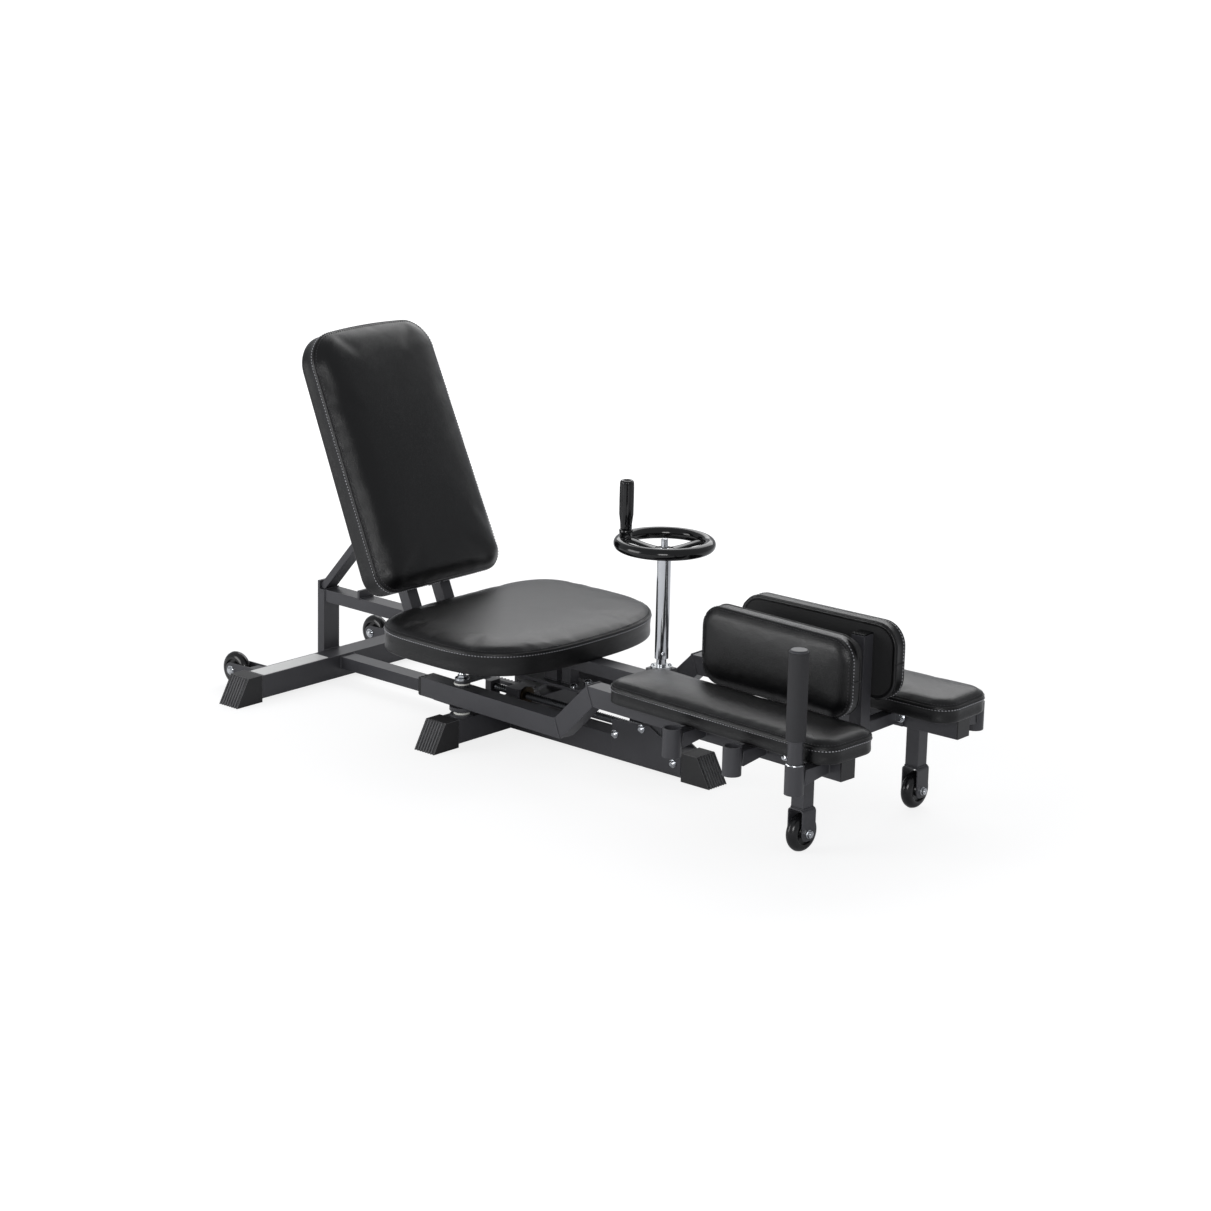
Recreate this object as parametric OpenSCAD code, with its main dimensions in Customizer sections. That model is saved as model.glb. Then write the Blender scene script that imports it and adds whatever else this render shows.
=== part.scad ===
// Leg stretching machine: a seat with a folding backrest and two leg arms that a handwheel opens.
// Lengths are in millimetres. X runs forward from the backrest to the leg pads, Y to the sitter's left, Z up.

/* [Base frame] */
// Side of the square tube of the three stabilizers
foot_tube = 50; // [40:1:60]
// Wall of the stabilizer and beam tubes
tube_wall = 2.5; // [1.5:0.5:4]
// Rear stabilizer over its rubber caps
rear_foot_span = 661; // [560:1:760]
// Middle stabilizer over its rubber caps
mid_foot_span = 518; // [480:1:600]
// From the rear stabilizer to the middle stabilizer and leg pivots
mid_foot_x = 516; // [490:1:560]
// From the handwheel shaft to the front end of the rubber cap
front_overhang = 157; // [150:1:200]
// Underside of the tubes above the floor
foot_lift = 7; // [4:1:12]

/* [Beams] */
// Width of the seat beam and of the lower rear beam
beam_w = 40; // [34:1:46]
// Height of the seat beam
top_beam_h = 27; // [22:1:32]
// Top face of the seat beam above the floor
top_beam_z = 196; // [190:1:215]
// Height of the lower rear beam
low_beam_h = 27; // [20:1:34]
// Front to back size of the rear upright
upright_x = 20; // [16:1:30]
// Width of the rear upright
upright_y = 46; // [42:1:60]
// Height of a backrest stop above the seat beam
stop_h = 18; // [12:1:18]
// Thickness of a backrest stop
stop_t = 6; // [4:1:8]
// From the rear stop to the second stop
stop_gap = 123; // [118:1:128]

/* [Rubber caps] */
// Length of a cap on the floor
cap_len = 74; // [66:1:84]
// How far the top of the sloped face lies behind its foot
cap_slope = 34; // [24:1:38]
// Rubber thickness over the sides of the tube
cap_wall = 3; // [2:0.5:5]
// Number of grooves in the sloped face
cap_grooves = 7; // [3:1:9]

/* [Leg arms] */
// Distance of each leg pivot from the middle plane
pivot_y = 148; // [146:1:160]
// Opening of each arm when the machine is closed
closed_angle = 2; // [1.5:0.5:4]
// Side of the square arm tube
arm_tube = 40; // [36:1:44]
// Wall of the arm tube
arm_wall = 2; // [1.5:0.5:3]
// Underside of the low end of the arm
arm_low_z = 80; // [78:1:84]
// Rise of the arm from its low end to its high end
arm_rise = 87; // [80:1:100]
// Length of the arm behind its pivot
arm_tail = 102; // [60:1:110]
// From the pivot to the foot of the rise
arm_bend = 286; // [270:1:310]
// From the pivot to the front end of the arm
arm_reach = 1026; // [1010:1:1080]
// Diameter of the pivot bolt
pivot_d = 16; // [12:1:20]

/* [Leg pads] */
// Length of a leg pad
leg_pad_l = 565; // [480:1:600]
// Width of a leg pad
leg_pad_w = 160; // [140:1:164]
// Height of the side of a leg pad
leg_pad_h = 42; // [34:1:46]
// How far the leg pad passes the front end of the arm
pad_overhang = 9; // [0:1:30]
// Length of an inner pad
inner_pad_l = 384; // [300:1:420]
// Height of an inner pad
inner_pad_w = 158; // [130:1:180]
// Thickness of the side of an inner pad
inner_pad_h = 40; // [32:1:42]
// From the front end of the inner pad to the front end of the arm
inner_pad_back = 71; // [40:1:90]
// Underside of the inner pad above the floor
inner_pad_z = 245; // [238:1:262]
// Side of the square post behind an inner pad
inner_post = 30; // [25:1:32]

/* [Pegs and casters] */
// From the last peg sleeve to the front end of the arm
sleeve_back = 40; // [30:1:60]
// Spacing of the peg sleeves
sleeve_gap = 153; // [120:1:155]
// Number of peg sleeves on an arm
sleeve_count = 3; // [1:1:3]
// Outside diameter of the foot peg tube
peg_d = 30; // [26:1:34]
// Radial clearance of the peg in its sleeve
peg_clearance = 0.1; // [0.1:0.05:0.5]
// Wall of a peg sleeve
sleeve_wall = 3.4; // [2:0.1:4]
// Height of a peg sleeve
sleeve_h = 57; // [45:1:60]
// From the arm's middle plane to the middle of a sleeve
sleeve_out = 104; // [103:1:112]
// Length of the foam grip
grip_l = 168; // [140:1:190]
// Diameter of the foam grip
grip_d = 38; // [36:1:42]
// Diameter of the caster and transport wheels
wheel_d = 76; // [70:1:78]
// Width of the caster and transport wheels
wheel_w = 26; // [20:1:30]
// From the caster to the front end of the arm
caster_back = 104; // [95:1:115]
// From the mouth of the peg sleeve to the foam grip
grip_gap = 48; // [20:1:60]

/* [Seat and backrest] */
// Front to back size of the seat cushion
seat_l = 412; // [390:1:416]
// Width of the seat cushion
seat_w = 556; // [460:1:580]
// Height of the side of the seat cushion
seat_h = 54; // [44:1:56]
// Middle of the seat cushion from the rear stabilizer
seat_x = 549; // [549:1:580]
// Length of the backrest cushion
back_l = 566; // [480:1:640]
// Width of the backrest cushion
back_w = 350; // [300:1:420]
// Thickness of the side of the backrest cushion
back_h = 50; // [40:1:56]
// From the top of the support tubes to the top of the backrest cushion
tube_short = 90; // [70:1:110]
// Lean of the backrest from upright
back_lean = 24; // [22:1:24]
// Backrest hinge from the rear stabilizer
hinge_x = 291; // [289:1:293]
// Width of a backrest support tube
support_w = 30; // [25:1:32]
// Depth of a backrest support tube
support_t = 27; // [22:1:28]
// Distance between the two support tubes
support_gap = 100; // [96:1:120]
// Thickness of the backrest strut
strut_t = 15; // [12:1:16]
// Plywood thickness of the pads
board_t = 12; // [9:1:15]

/* [Drive] */
// Diameter of the handwheel
wheel_hand_d = 205; // [180:1:230]
// Thickness of the handwheel rim
rim_d = 24; // [18:1:28]
// Handwheel shaft from the rear stabilizer
column_x = 928; // [915:1:940]
// Middle of the rim above the floor
hand_z = 474; // [440:1:520]
// Diameter of the chrome stem under the handwheel
stem_d = 28; // [26:1:36]
// Diameter of the vertical shaft
shaft_d = 20; // [16:1:22]
// Length of the turning handle
handle_l = 100; // [80:1:120]
// Diameter of the lead screw
screw_d = 16; // [12:1:18]
// Height of the lead screw above the floor
screw_z = 78; // [76:1:80]
// Module of the arm gears and racks
gear_module = 3; // [2.5:0.5:3]
// Teeth that a full arm gear would have
gear_teeth = 60; // [60:1:60]
// Play on each flank of the teeth
tooth_play = 0.2; // [0.15:0.05:0.3]
// Thickness of the arm gears and racks
gear_t = 8; // [6:1:8]
// Furthest opening of each arm from the closed position
open_travel = 70; // [40:1:72]

/* [Hidden] */
$fn = 64;

// Running clearance of a shaft in its bore, on the radius
run = 0.05;
// Gap between pieces that slide past each other
gap = 0.3;
// Depth by which a cutting shape passes a face
over = 1;
// Tangent of half the bend of the arm
bend_tan = tan(22.5);

steel = [0.13, 0.13, 0.14];
vinyl = [0.09, 0.09, 0.1];
rubber = [0.16, 0.16, 0.17];
chrome = [0.78, 0.79, 0.8];
brass = [0.72, 0.58, 0.3];
nylon = [0.92, 0.92, 0.9];
wood = [0.7, 0.56, 0.38];
plastic = [0.07, 0.07, 0.08];

half_foot = foot_tube / 2;
foot_top = foot_lift + foot_tube;
cap_h = foot_top + cap_wall;
front_reach = column_x + front_overhang;
// Length of tube that a cap takes in
cap_seat = cap_len - cap_slope - 6;
low_beam_top = foot_top - 4;
top_beam_bottom = top_beam_z - top_beam_h;
upright_front = -half_foot;
front_tube_end = front_reach - cap_len + cap_seat;
top_beam_end = column_x + 32;

// Heights of the stack on a pivot bolt, from the stabilizer up
pivot_pad_t = 4;
lower_washer_t = 4;
hub_bottom = foot_top + pivot_pad_t + lower_washer_t + gap;
hub_top = arm_low_z + arm_tube + 4;
hub_r = pivot_d / 2 + 6;
upper_washer_t = 3;
bridge_t = 6;
bridge_z = hub_top + gap + upper_washer_t;
bridge_half = 15;
deck_end = mid_foot_x + 219;
deck_half = 34;
// Both posts between the bridge and the seat beam, as [front to back size, place]
posts = [[33, mid_foot_x + 125], [23, mid_foot_x + 167]];
post_w = 26;

arm_high_z = arm_low_z + arm_rise;
leg_pad_front = arm_reach + pad_overhang;
inner_pad_front = arm_reach - inner_pad_back;
caster_u = arm_reach - caster_back;
sleeve_first = arm_reach - sleeve_back - (sleeve_count - 1) * sleeve_gap;
pad_plate_t = 3;
pad_z = arm_high_z + arm_tube + pad_plate_t;
leg_pad_u = leg_pad_front - leg_pad_l / 2;
inner_pad_u = inner_pad_front - inner_pad_l / 2;
inner_pad_mid_z = inner_pad_z + inner_pad_w / 2;
// Outer face of the inner cushion, measured inward from the arm's middle plane
inner_face = leg_pad_w / 2 + 10;
inner_board_in = inner_face + inner_pad_h;
post_mid_in = inner_board_in + inner_post / 2;
post_u = caster_u - 40;

sleeve_r = peg_d / 2 + peg_clearance + sleeve_wall;
sleeve_top = arm_high_z + arm_tube + 3;
sleeve_bottom = sleeve_top - sleeve_h;
sleeve_floor_t = 3;
wheel_r = wheel_d / 2;
axle_r = 5;
fork_half = wheel_w / 2 + 3;
fork_t = 3;
fork_top = wheel_r * 2 + 12;
fork_w = 39;
wheel_set_back = 100;
transport_z = wheel_r + 1;
transport_y = 212;

hinge_z = top_beam_bottom + top_beam_h / 2;
hinge_r = 6;
// Places on the backrest, upward along it and forward from the middle of its tubes
back_start = 78;
back_board_n = support_t / 2;
strut_s = 272;
strut_n = -24;
strut_foot_x = upright_front - upright_x + stop_t + gap + strut_t / 2;
strut_foot_z = top_beam_z + gap + strut_t / 2;
strut_top_x = hinge_x - strut_s * sin(back_lean) + strut_n * cos(back_lean);
strut_top_z = hinge_z + strut_s * cos(back_lean) + strut_n * sin(back_lean);
strut_l = norm([strut_top_x - strut_foot_x, strut_top_z - strut_foot_z]);
strut_angle = atan2(strut_top_x - strut_foot_x, strut_top_z - strut_foot_z);
strut_w = beam_w - 4;
lug_t = 5;
lug_mid = strut_w / 2 + gap + lug_t / 2;
pin_r = 5;

gear_r = gear_module * gear_teeth / 2;
tooth_pitch = PI * gear_module;
tooth_angle = 360 / gear_teeth;
rack_y = pivot_y - gear_r;
gear_z = arm_low_z - gear_t - 3;
rack_travel = gear_r * open_travel * PI / 180;
rack_back = mid_foot_x - rack_travel - 2.5 * tooth_pitch;
rack_front = mid_foot_x + 2.5 * tooth_pitch;
rack_inner = rack_y - 16;
nut_l = 36;
nut_x = mid_foot_x + 8;
screw_back = mid_foot_x - 44;
shoe_half = 23;

bevel_teeth = 16;
bevel_module = 2;
bevel_r = bevel_teeth * bevel_module / 2;
bevel_face = 7;
post_side = 50;
post_wall = 3;
post_back = column_x - post_side / 2;
cheek_t = 4;
block_h = 20;
flange_t = 5;
bearing_top = top_beam_z + block_h + flange_t;

rim_r = wheel_hand_d / 2 - rim_d / 2;
stem_bottom = bearing_top + 15;
stem_top = hand_z - 24;
handle_angle = 190;
boss_h = rim_d / 2 + 4;
handle_z = hand_z + boss_h + 1;

// Longest reach of the model, forward at the leg pads and rearward at the transport wheels
pad_corner = 36;
reach_front = mid_foot_x + (leg_pad_front - pad_corner) * cos(closed_angle)
    + (leg_pad_w / 2 - pad_corner) * sin(closed_angle) + pad_corner;
reach_back = -wheel_set_back - wheel_r;
middle_x = (reach_front + reach_back) / 2;

// Puts the model's origin under the middle of its box
module placed() translate([-middle_x, 0, 0]) children();

// Outlines and rings

function arc_points(cx, cy, r, from, n) =
    [for (i = [0:n]) [cx + r * cos(from + 90 * i / n), cy + r * sin(from + 90 * i / n)]];

function round_rect(hx, hy, r, n) = concat(
    arc_points(hx - r, hy - r, r, 0, n),
    arc_points(r - hx, hy - r, r, 90, n),
    arc_points(r - hx, r - hy, r, 180, n),
    arc_points(hx - r, r - hy, r, 270, n));

// Rounded seat outline: the curve |x/a|^p + |y/b|^p = 1, with a rounder front than rear
function super_ellipse(a, b, front, rear, n) = [for (i = [0:n - 1])
    let (c = cos(360 * i / n), s = sin(360 * i / n), p = c > 0 ? front : rear)
    [a * sign(c) * pow(abs(c), 2 / p), b * sign(s) * pow(abs(s), 2 / p)]];

function ring(path, half, inset, z) =
    [for (p = path) [p[0] * (half[0] - inset) / half[0], p[1] * (half[1] - inset) / half[1], z]];

// Closed form through a stack of rings [inset, height]: an upholstered pad with its recess for the board
module ring_form(path, half, stack) {
    n = len(path);
    rows = len(stack);
    points = concat(
        [for (s = stack) each ring(path, half, s[0], s[1])],
        [[0, 0, stack[0][1]], [0, 0, stack[rows - 1][1] + 1.5]]);
    sides = [for (k = [0:rows - 2], i = [0:n - 1])
        let (a = k * n + i, b = k * n + (i + 1) % n)
        each [[a, a + n, b + n], [a, b + n, b]]];
    floor_fan = [for (i = [0:n - 1]) [rows * n, i, (i + 1) % n]];
    top_fan = [for (i = [0:n - 1])
        [rows * n + 1, (rows - 1) * n + (i + 1) % n, (rows - 1) * n + i]];
    polyhedron(points = points, faces = concat(sides, floor_fan, top_fan), convexity = 4);
}

// Cushion with a drawn-in side, a seam ridge at its top edge and a crowned face, standing on z = 0
module cushion(path, half, side_h, crown) {
    board_in = 9;
    ring_form(path, half, [
        [board_in, board_t], [board_in, 1.5], [3, 1.5], [0.5, 5],
        [1.6, side_h * 0.45], [0.8, side_h * 0.8], [0, side_h - 2], [1.5, side_h],
        [7, side_h + crown * 0.12], [18, side_h + crown * 0.42],
        [36, side_h + crown * 0.75], [58, side_h + crown * 0.95]]);
}

module board(path, half, t) {
    board_in = 9 + gap;
    linear_extrude(t)
        polygon([for (p = ring(path, half, board_in, 0)) [p[0], p[1]]]);
}

seat_path = super_ellipse(seat_l / 2, seat_w / 2, 2.9, 4, 40);
seat_half = [seat_l / 2, seat_w / 2];
back_half = [back_l / 2, back_w / 2];
back_path = round_rect(back_l / 2, back_w / 2, 66, 6);
leg_half = [leg_pad_l / 2, leg_pad_w / 2];
leg_path = round_rect(leg_pad_l / 2, leg_pad_w / 2, pad_corner, 6);
inner_half = [inner_pad_l / 2, inner_pad_w / 2];
inner_path = round_rect(inner_pad_l / 2, inner_pad_w / 2, 34, 6);

// Square tube along X, standing on its lower face
module tube_x(x0, x1, w, z0, h, wall) {
    difference() {
        translate([x0, -w / 2, z0]) cube([x1 - x0, w, h]);
        translate([x0 - over, wall - w / 2, z0 + wall])
            cube([x1 - x0 + 2 * over, w - 2 * wall, h - 2 * wall]);
    }
}

module tube_y(span, x, z0) {
    half = span / 2 - cap_len + cap_seat;
    difference() {
        translate([x - half_foot, -half, z0]) cube([foot_tube, 2 * half, foot_tube]);
        translate([x - half_foot + tube_wall, -half - over, z0 + tube_wall])
            cube([foot_tube - 2 * tube_wall, 2 * half + 2 * over, foot_tube - 2 * tube_wall]);
    }
}

module rod_x(r, x0, x1) translate([x0, 0, 0]) rotate([0, 90, 0]) cylinder(r = r, h = x1 - x0);

module rod_y(r, y0, y1) translate([0, y0, 0]) rotate([-90, 0, 0]) cylinder(r = r, h = y1 - y0);

module hex_prism(across, h) cylinder(r = across / 2 / cos(30), h = h, $fn = 6);

// Base frame

module rear_stabilizer() color(steel) placed() tube_y(rear_foot_span, 0, foot_lift);

module mid_stabilizer() color(steel) placed() {
    tube_y(mid_foot_span, mid_foot_x, foot_lift);
    for (side = [-1, 1])
        translate([mid_foot_x, side * pivot_y, foot_top]) cylinder(r = 24, h = pivot_pad_t);
}

// Lower rear beam with the tail bearing of the lead screw welded on it
module rear_lower_beam() color(steel) placed() {
    tube_x(half_foot, mid_foot_x - half_foot, beam_w, low_beam_top - low_beam_h, low_beam_h, 2);
    difference() {
        translate([screw_back - 16, -14, low_beam_top]) cube([16, 28, screw_z + 14 - low_beam_top]);
        translate([0, 0, screw_z]) rod_x(screw_d / 2 - 2 + run, screw_back - 16 - over, screw_back + over);
    }
}

module front_lower_beam() color(steel) placed()
    tube_x(mid_foot_x + half_foot, front_tube_end, foot_tube, foot_lift, foot_tube, tube_wall);

// Rear upright with the rear backrest stop on its top
module rear_upright() color(steel) placed()
    difference() {
        union() {
            translate([upright_front - upright_x, -upright_y / 2, foot_lift + 6])
                cube([upright_x, upright_y, top_beam_z - foot_lift - 6]);
            translate([upright_front - upright_x, -upright_y / 2, top_beam_z - over])
                cube([stop_t, upright_y, stop_h + over]);
        }
        translate([upright_front - upright_x + 2, 2 - upright_y / 2, foot_lift + 6 - over])
            cube([upright_x - 4, upright_y - 4, top_beam_z - foot_lift - 6 - 2 + over]);
    }

// Seat beam with its welded hinge tube and second backrest stop
module top_beam() color(steel) placed() {
    hinge_half = support_gap / 2 - support_w / 2 - gap;
    difference() {
        union() {
            tube_x(upright_front, top_beam_end, beam_w, top_beam_bottom, top_beam_h, 2);
            translate([hinge_x, 0, hinge_z]) rod_y(hinge_r + 5, -hinge_half, hinge_half);
            translate([column_x - 22, -22, top_beam_z - over]) cube([44, 44, block_h + over]);
        }
        translate([hinge_x, 0, hinge_z]) rod_y(hinge_r + run, -hinge_half - over, hinge_half + over);
        translate([column_x, 0, top_beam_bottom - over])
            cylinder(r = shaft_d / 2 + 3, h = top_beam_h + block_h + 2 * over);
    }
    translate([upright_front - upright_x + stop_gap, -beam_w / 2 - 2, top_beam_z])
        cube([stop_t, beam_w + 4, stop_h]);
}

// Square post that carries the front of the seat beam and houses the bevel gears
module front_post() color(steel) placed()
    difference() {
        translate([post_back, -post_side / 2, foot_top])
            cube([post_side, post_side, top_beam_bottom - foot_top]);
        translate([post_back + post_wall, post_wall - post_side / 2, foot_top - over])
            cube([post_side - 2 * post_wall, post_side - 2 * post_wall,
                top_beam_bottom - foot_top + 2 * over]);
        translate([0, 0, screw_z]) rod_x(screw_d / 2 + 4, post_back - over, post_back + post_wall + over);
    }

// Cheek plate outline and bolts, counted forward from the handwheel shaft and up from the floor
cheek_front = front_overhang - cap_len - 1;
cheek_outline = [[-102, 14], [-102, 91], [-3, 98], [cheek_front, 54], [cheek_front, 14]];
cheek_bolts = [[-94, 61], [62, 34], [-23, 88]];

module front_cheeks() color(steel) placed()
    for (side = [-1, 1])
        translate([column_x, side * (foot_tube / 2 + cheek_t / 2) + cheek_t / 2, 0])
            rotate([90, 0, 0])
                linear_extrude(cheek_t)
                    polygon(cheek_outline);

// Domed bolt head on a washer, standing on z = 0
module bolt_head(r, h) {
    cylinder(r = r * 1.25, h = h * 0.25);
    translate([0, 0, h * 0.25]) cylinder(r = r, h = h * 0.35);
    translate([0, 0, h * 0.6]) cylinder(r1 = r, r2 = r * 0.55, h = h * 0.4);
}

// Axle bolt through both cheeks of a wheel bracket or fork, along Y
module axle_bolt(half) {
    rod_y(axle_r, -half, half);
    translate([0, -half, 0]) rotate([90, 0, 0]) bolt_head(8, 7);
    translate([0, half, 0]) rotate([-90, 0, 0]) hex_prism(16, 7);
}

// Bolts of the frame: cheek plates, bridge deck, column, transport wheel axles and backrest hinge
module frame_bolts() color(chrome) placed() {
    for (side = [-1, 1], p = cheek_bolts)
        translate([column_x + p[0], side * (foot_tube / 2 + cheek_t), p[1]])
            rotate([-side * 90, 0, 0]) bolt_head(7, 7);
    for (side = [-1, 1], x = [deck_end - 22, mid_foot_x + 40])
        translate([x, side * (deck_half - 12), bridge_z + bridge_t]) bolt_head(7, 7);
    for (side = [-1, 1])
        translate([column_x + side * 12, side * 12, bearing_top]) bolt_head(3, 4);
    for (side = [-1, 1])
        translate([-wheel_set_back, side * transport_y, transport_z]) axle_bolt(fork_half + fork_t);
    hinge_half = support_gap / 2 + support_w / 2 + gap;
    translate([hinge_x, 0, hinge_z]) {
        rod_y(hinge_r, -hinge_half, hinge_half);
        translate([0, -hinge_half, 0]) rotate([90, 0, 0]) bolt_head(9, 8);
        translate([0, hinge_half, 0]) rotate([-90, 0, 0]) hex_prism(19, 8);
    }
}

// Rubber end cap: a sleeve over the tube with a sloped and grooved outer face, from x = 0 outward
module end_cap() {
    half = half_foot + cap_wall;
    slope_angle = atan2(cap_slope, cap_h);
    groove = 2 * half / (2 * cap_grooves + 1);
    difference() {
        translate([0, half, 0]) rotate([90, 0, 0]) linear_extrude(2 * half)
            polygon([[0, 0], [cap_len, 0], [cap_len - cap_slope, cap_h], [0, cap_h]]);
        translate([-over, -half_foot, foot_lift]) cube([cap_seat + over, foot_tube, foot_tube]);
        for (i = [0:cap_grooves - 1])
            translate([cap_len, -half + groove * (2 * i + 1), 0])
                rotate([0, -slope_angle, 0])
                    translate([-2, 0, -10]) cube([6, groove, cap_h + 40]);
    }
}

module end_caps() color(rubber) placed() {
    for (end = [[0, rear_foot_span], [mid_foot_x, mid_foot_span]], side = [-1, 1])
        translate([end[0], side * (end[1] / 2 - cap_len), 0]) rotate([0, 0, side * 90]) end_cap();
    translate([front_reach - cap_len, 0, 0]) end_cap();
}

// Wheel bracket: two cheeks that reach back from the rear stabilizer, joined by a web
module transport_wheel_brackets() color(steel) placed()
    for (side = [-1, 1]) translate([0, side * transport_y, 0]) {
        for (cheek = [-fork_half - fork_t, fork_half])
            translate([0, cheek + fork_t, 0]) rotate([90, 0, 0]) linear_extrude(fork_t)
                difference() {
                    union() {
                        translate([-wheel_set_back, transport_z]) circle(r = 17);
                        polygon([[-wheel_set_back, transport_z - 17], [-half_foot, 22],
                            [-half_foot, foot_top], [-wheel_set_back, transport_z + 17]]);
                    }
                    translate([-wheel_set_back, transport_z]) circle(r = axle_r + run);
                }
        translate([-half_foot - 22, -fork_half, foot_top - fork_t - 2])
            cube([22, 2 * fork_half, fork_t]);
    }

// Wheel with a rounded tread and a bored hub, turning about Y
module wheel() {
    tread = wheel_w / 2;
    rotate([90, 0, 0]) rotate_extrude()
        difference() {
            union() {
                translate([wheel_r - tread, 0]) circle(r = tread);
                translate([axle_r + run, -tread * 0.55]) square([wheel_r - tread, tread * 1.1]);
                translate([axle_r + run, -tread]) square([7, wheel_w]);
            }
            translate([-over - 20, -wheel_w]) square([20 + over + axle_r + run, 2 * wheel_w]);
        }
}

module near_transport_wheel() color(plastic) placed()
    translate([-wheel_set_back, -transport_y, transport_z]) wheel();

module far_transport_wheel() color(plastic) placed()
    translate([-wheel_set_back, transport_y, transport_z]) wheel();

// Leg pivots and the bridge over them

module pivot_bolts() color(chrome) placed()
    for (side = [-1, 1]) translate([mid_foot_x, side * pivot_y, 0]) {
        translate([0, 0, foot_top + pivot_pad_t])
            cylinder(r = pivot_d / 2, h = bridge_z + bridge_t + 12 - foot_top - pivot_pad_t);
        translate([0, 0, bridge_z + bridge_t]) difference() {
            union() {
                cylinder(r = pivot_d / 2 + 8, h = 2.5);
                translate([0, 0, 2.5]) hex_prism(24, 10);
                translate([0, 0, 12.5]) cylinder(r1 = 10, r2 = 6, h = 6);
            }
            translate([0, 0, -over]) cylinder(r = pivot_d / 2, h = 12 + over);
        }
    }

module pivot_washers() color(nylon) placed()
    for (side = [-1, 1], z = [[foot_top + pivot_pad_t, lower_washer_t], [hub_top + gap, upper_washer_t]])
        translate([mid_foot_x, side * pivot_y, z[0]]) difference() {
            cylinder(r = hub_r + 3, h = z[1]);
            translate([0, 0, -over]) cylinder(r = pivot_d / 2 + run, h = z[1] + 2 * over);
        }

// Plate over both pivots with a deck and two posts that carry the seat beam
module seat_bridge() color(steel) placed() {
    difference() {
        translate([0, 0, bridge_z]) linear_extrude(bridge_t) {
            for (side = [-1, 1]) translate([mid_foot_x, side * pivot_y]) circle(r = bridge_half);
            translate([mid_foot_x - bridge_half, -pivot_y]) square([2 * bridge_half, 2 * pivot_y]);
            translate([mid_foot_x, -deck_half]) square([deck_end - mid_foot_x, 2 * deck_half]);
        }
        for (side = [-1, 1]) translate([mid_foot_x, side * pivot_y, bridge_z - over])
            cylinder(r = pivot_d / 2 + run, h = bridge_t + 2 * over);
    }
    for (p = posts) difference() {
        translate([p[1] - p[0] / 2, -post_w / 2, bridge_z + bridge_t])
            cube([p[0], post_w, top_beam_bottom - bridge_z - bridge_t]);
        translate([p[1] - p[0] / 2 + 3, 3 - post_w / 2, bridge_z + bridge_t - over])
            cube([p[0] - 6, post_w - 6, top_beam_bottom - bridge_z - bridge_t + 2 * over]);
    }
}

module seat_board() color(wood) placed() translate([seat_x, 0, top_beam_z])
    board(seat_path, seat_half, board_t);

module seat_cushion() color(vinyl) placed() translate([seat_x, 0, top_beam_z])
    cushion(seat_path, seat_half, seat_h, 12);

// Drive

// Half angle of an involute gear tooth at a radius, with the play taken off each flank
function roll(a) = tan(a) * 180 / PI - a;
function flank(r, pitch_r, teeth) =
    let (base = pitch_r * cos(20), a = acos(min(1, base / max(r, base))))
    90 / teeth - tooth_play / pitch_r * 180 / PI + roll(20) - roll(a);
function polar(r, a) = [r * cos(a), r * sin(a)];
function tooth_rows(pitch_r, add, ded) = [for (i = [0:4]) pitch_r - ded + (add + ded) * i / 4];
function gear_tooth(pitch_r, teeth, add, ded, at) = let (rows = tooth_rows(pitch_r, add, ded)) concat(
    [for (i = [0:4]) polar(rows[i], at - flank(rows[i], pitch_r, teeth))],
    [for (i = [4:-1:0]) polar(rows[i], at + flank(rows[i], pitch_r, teeth))]);

// Toothed sector welded on the underside of a leg arm, in the arm's own frame with the rack on its +Y side
module sector_gear() {
    last = ceil(open_travel / tooth_angle) + 2;
    angles = [for (k = [-2:last]) 90 + closed_angle + k * tooth_angle];
    translate([0, 0, gear_z]) difference() {
        linear_extrude(gear_t) {
            circle(r = hub_r + 12);
            polygon(concat([[0, 0]],
                [for (a = angles) each gear_tooth(gear_r, gear_teeth, 0.85 * gear_module,
                    1.15 * gear_module, a)]));
        }
        translate([0, 0, -over]) cylinder(r = hub_r, h = gear_t + 2 * over);
        translate([0, 0, -over]) rotate([0, 0, 90 + closed_angle + open_travel / 2])
            for (turn = [-22, 0, 22]) rotate([0, 0, turn]) translate([gear_r * 0.62, 0, 0])
                cylinder(r = 8, h = gear_t + 2 * over);
    }
}

// One rack tooth about x = 0 on the line y = 0, pointing to +Y
function rack_tooth(x) = let (
    half = tooth_pitch / 4 - tooth_play,
    add = 0.85 * gear_module,
    ded = 1.15 * gear_module)
    [[x + half + ded * tan(20), -ded], [x + half - add * tan(20), add],
     [x - half + add * tan(20), add], [x - half - ded * tan(20), -ded]];

module rack_bar() {
    first = -floor((mid_foot_x - rack_back) / tooth_pitch);
    places = [for (k = [1:-1:first]) mid_foot_x + (k + 0.5) * tooth_pitch];
    translate([0, 0, gear_z]) linear_extrude(gear_t)
        polygon(concat(
            [[rack_front, rack_inner], [rack_front, rack_y - 1.15 * gear_module]],
            [for (x = places) each [for (p = rack_tooth(x)) [p[0], p[1] + rack_y]]],
            [[rack_back, rack_y - 1.15 * gear_module], [rack_back, rack_inner]]));
}

// Two racks that turn the arm gears, one on each side of the saddle
module gear_racks() color(steel) placed() {
    rack_bar();
    mirror([0, 1, 0]) rack_bar();
}

// Sliding saddle that carries both racks and that the nut drives along the lead screw
module rack_saddle() color(steel) placed() {
    difference() {
        union() {
            translate([nut_x, -rack_inner, gear_z]) cube([nut_l, 2 * rack_inner, gear_t]);
            translate([nut_x, -shoe_half, foot_top + gap]) cube([nut_l, 2 * shoe_half, 36]);
        }
        translate([0, 0, screw_z]) rod_x(screw_d / 2 + 5, nut_x - over, nut_x + nut_l + over);
    }
}

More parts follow.
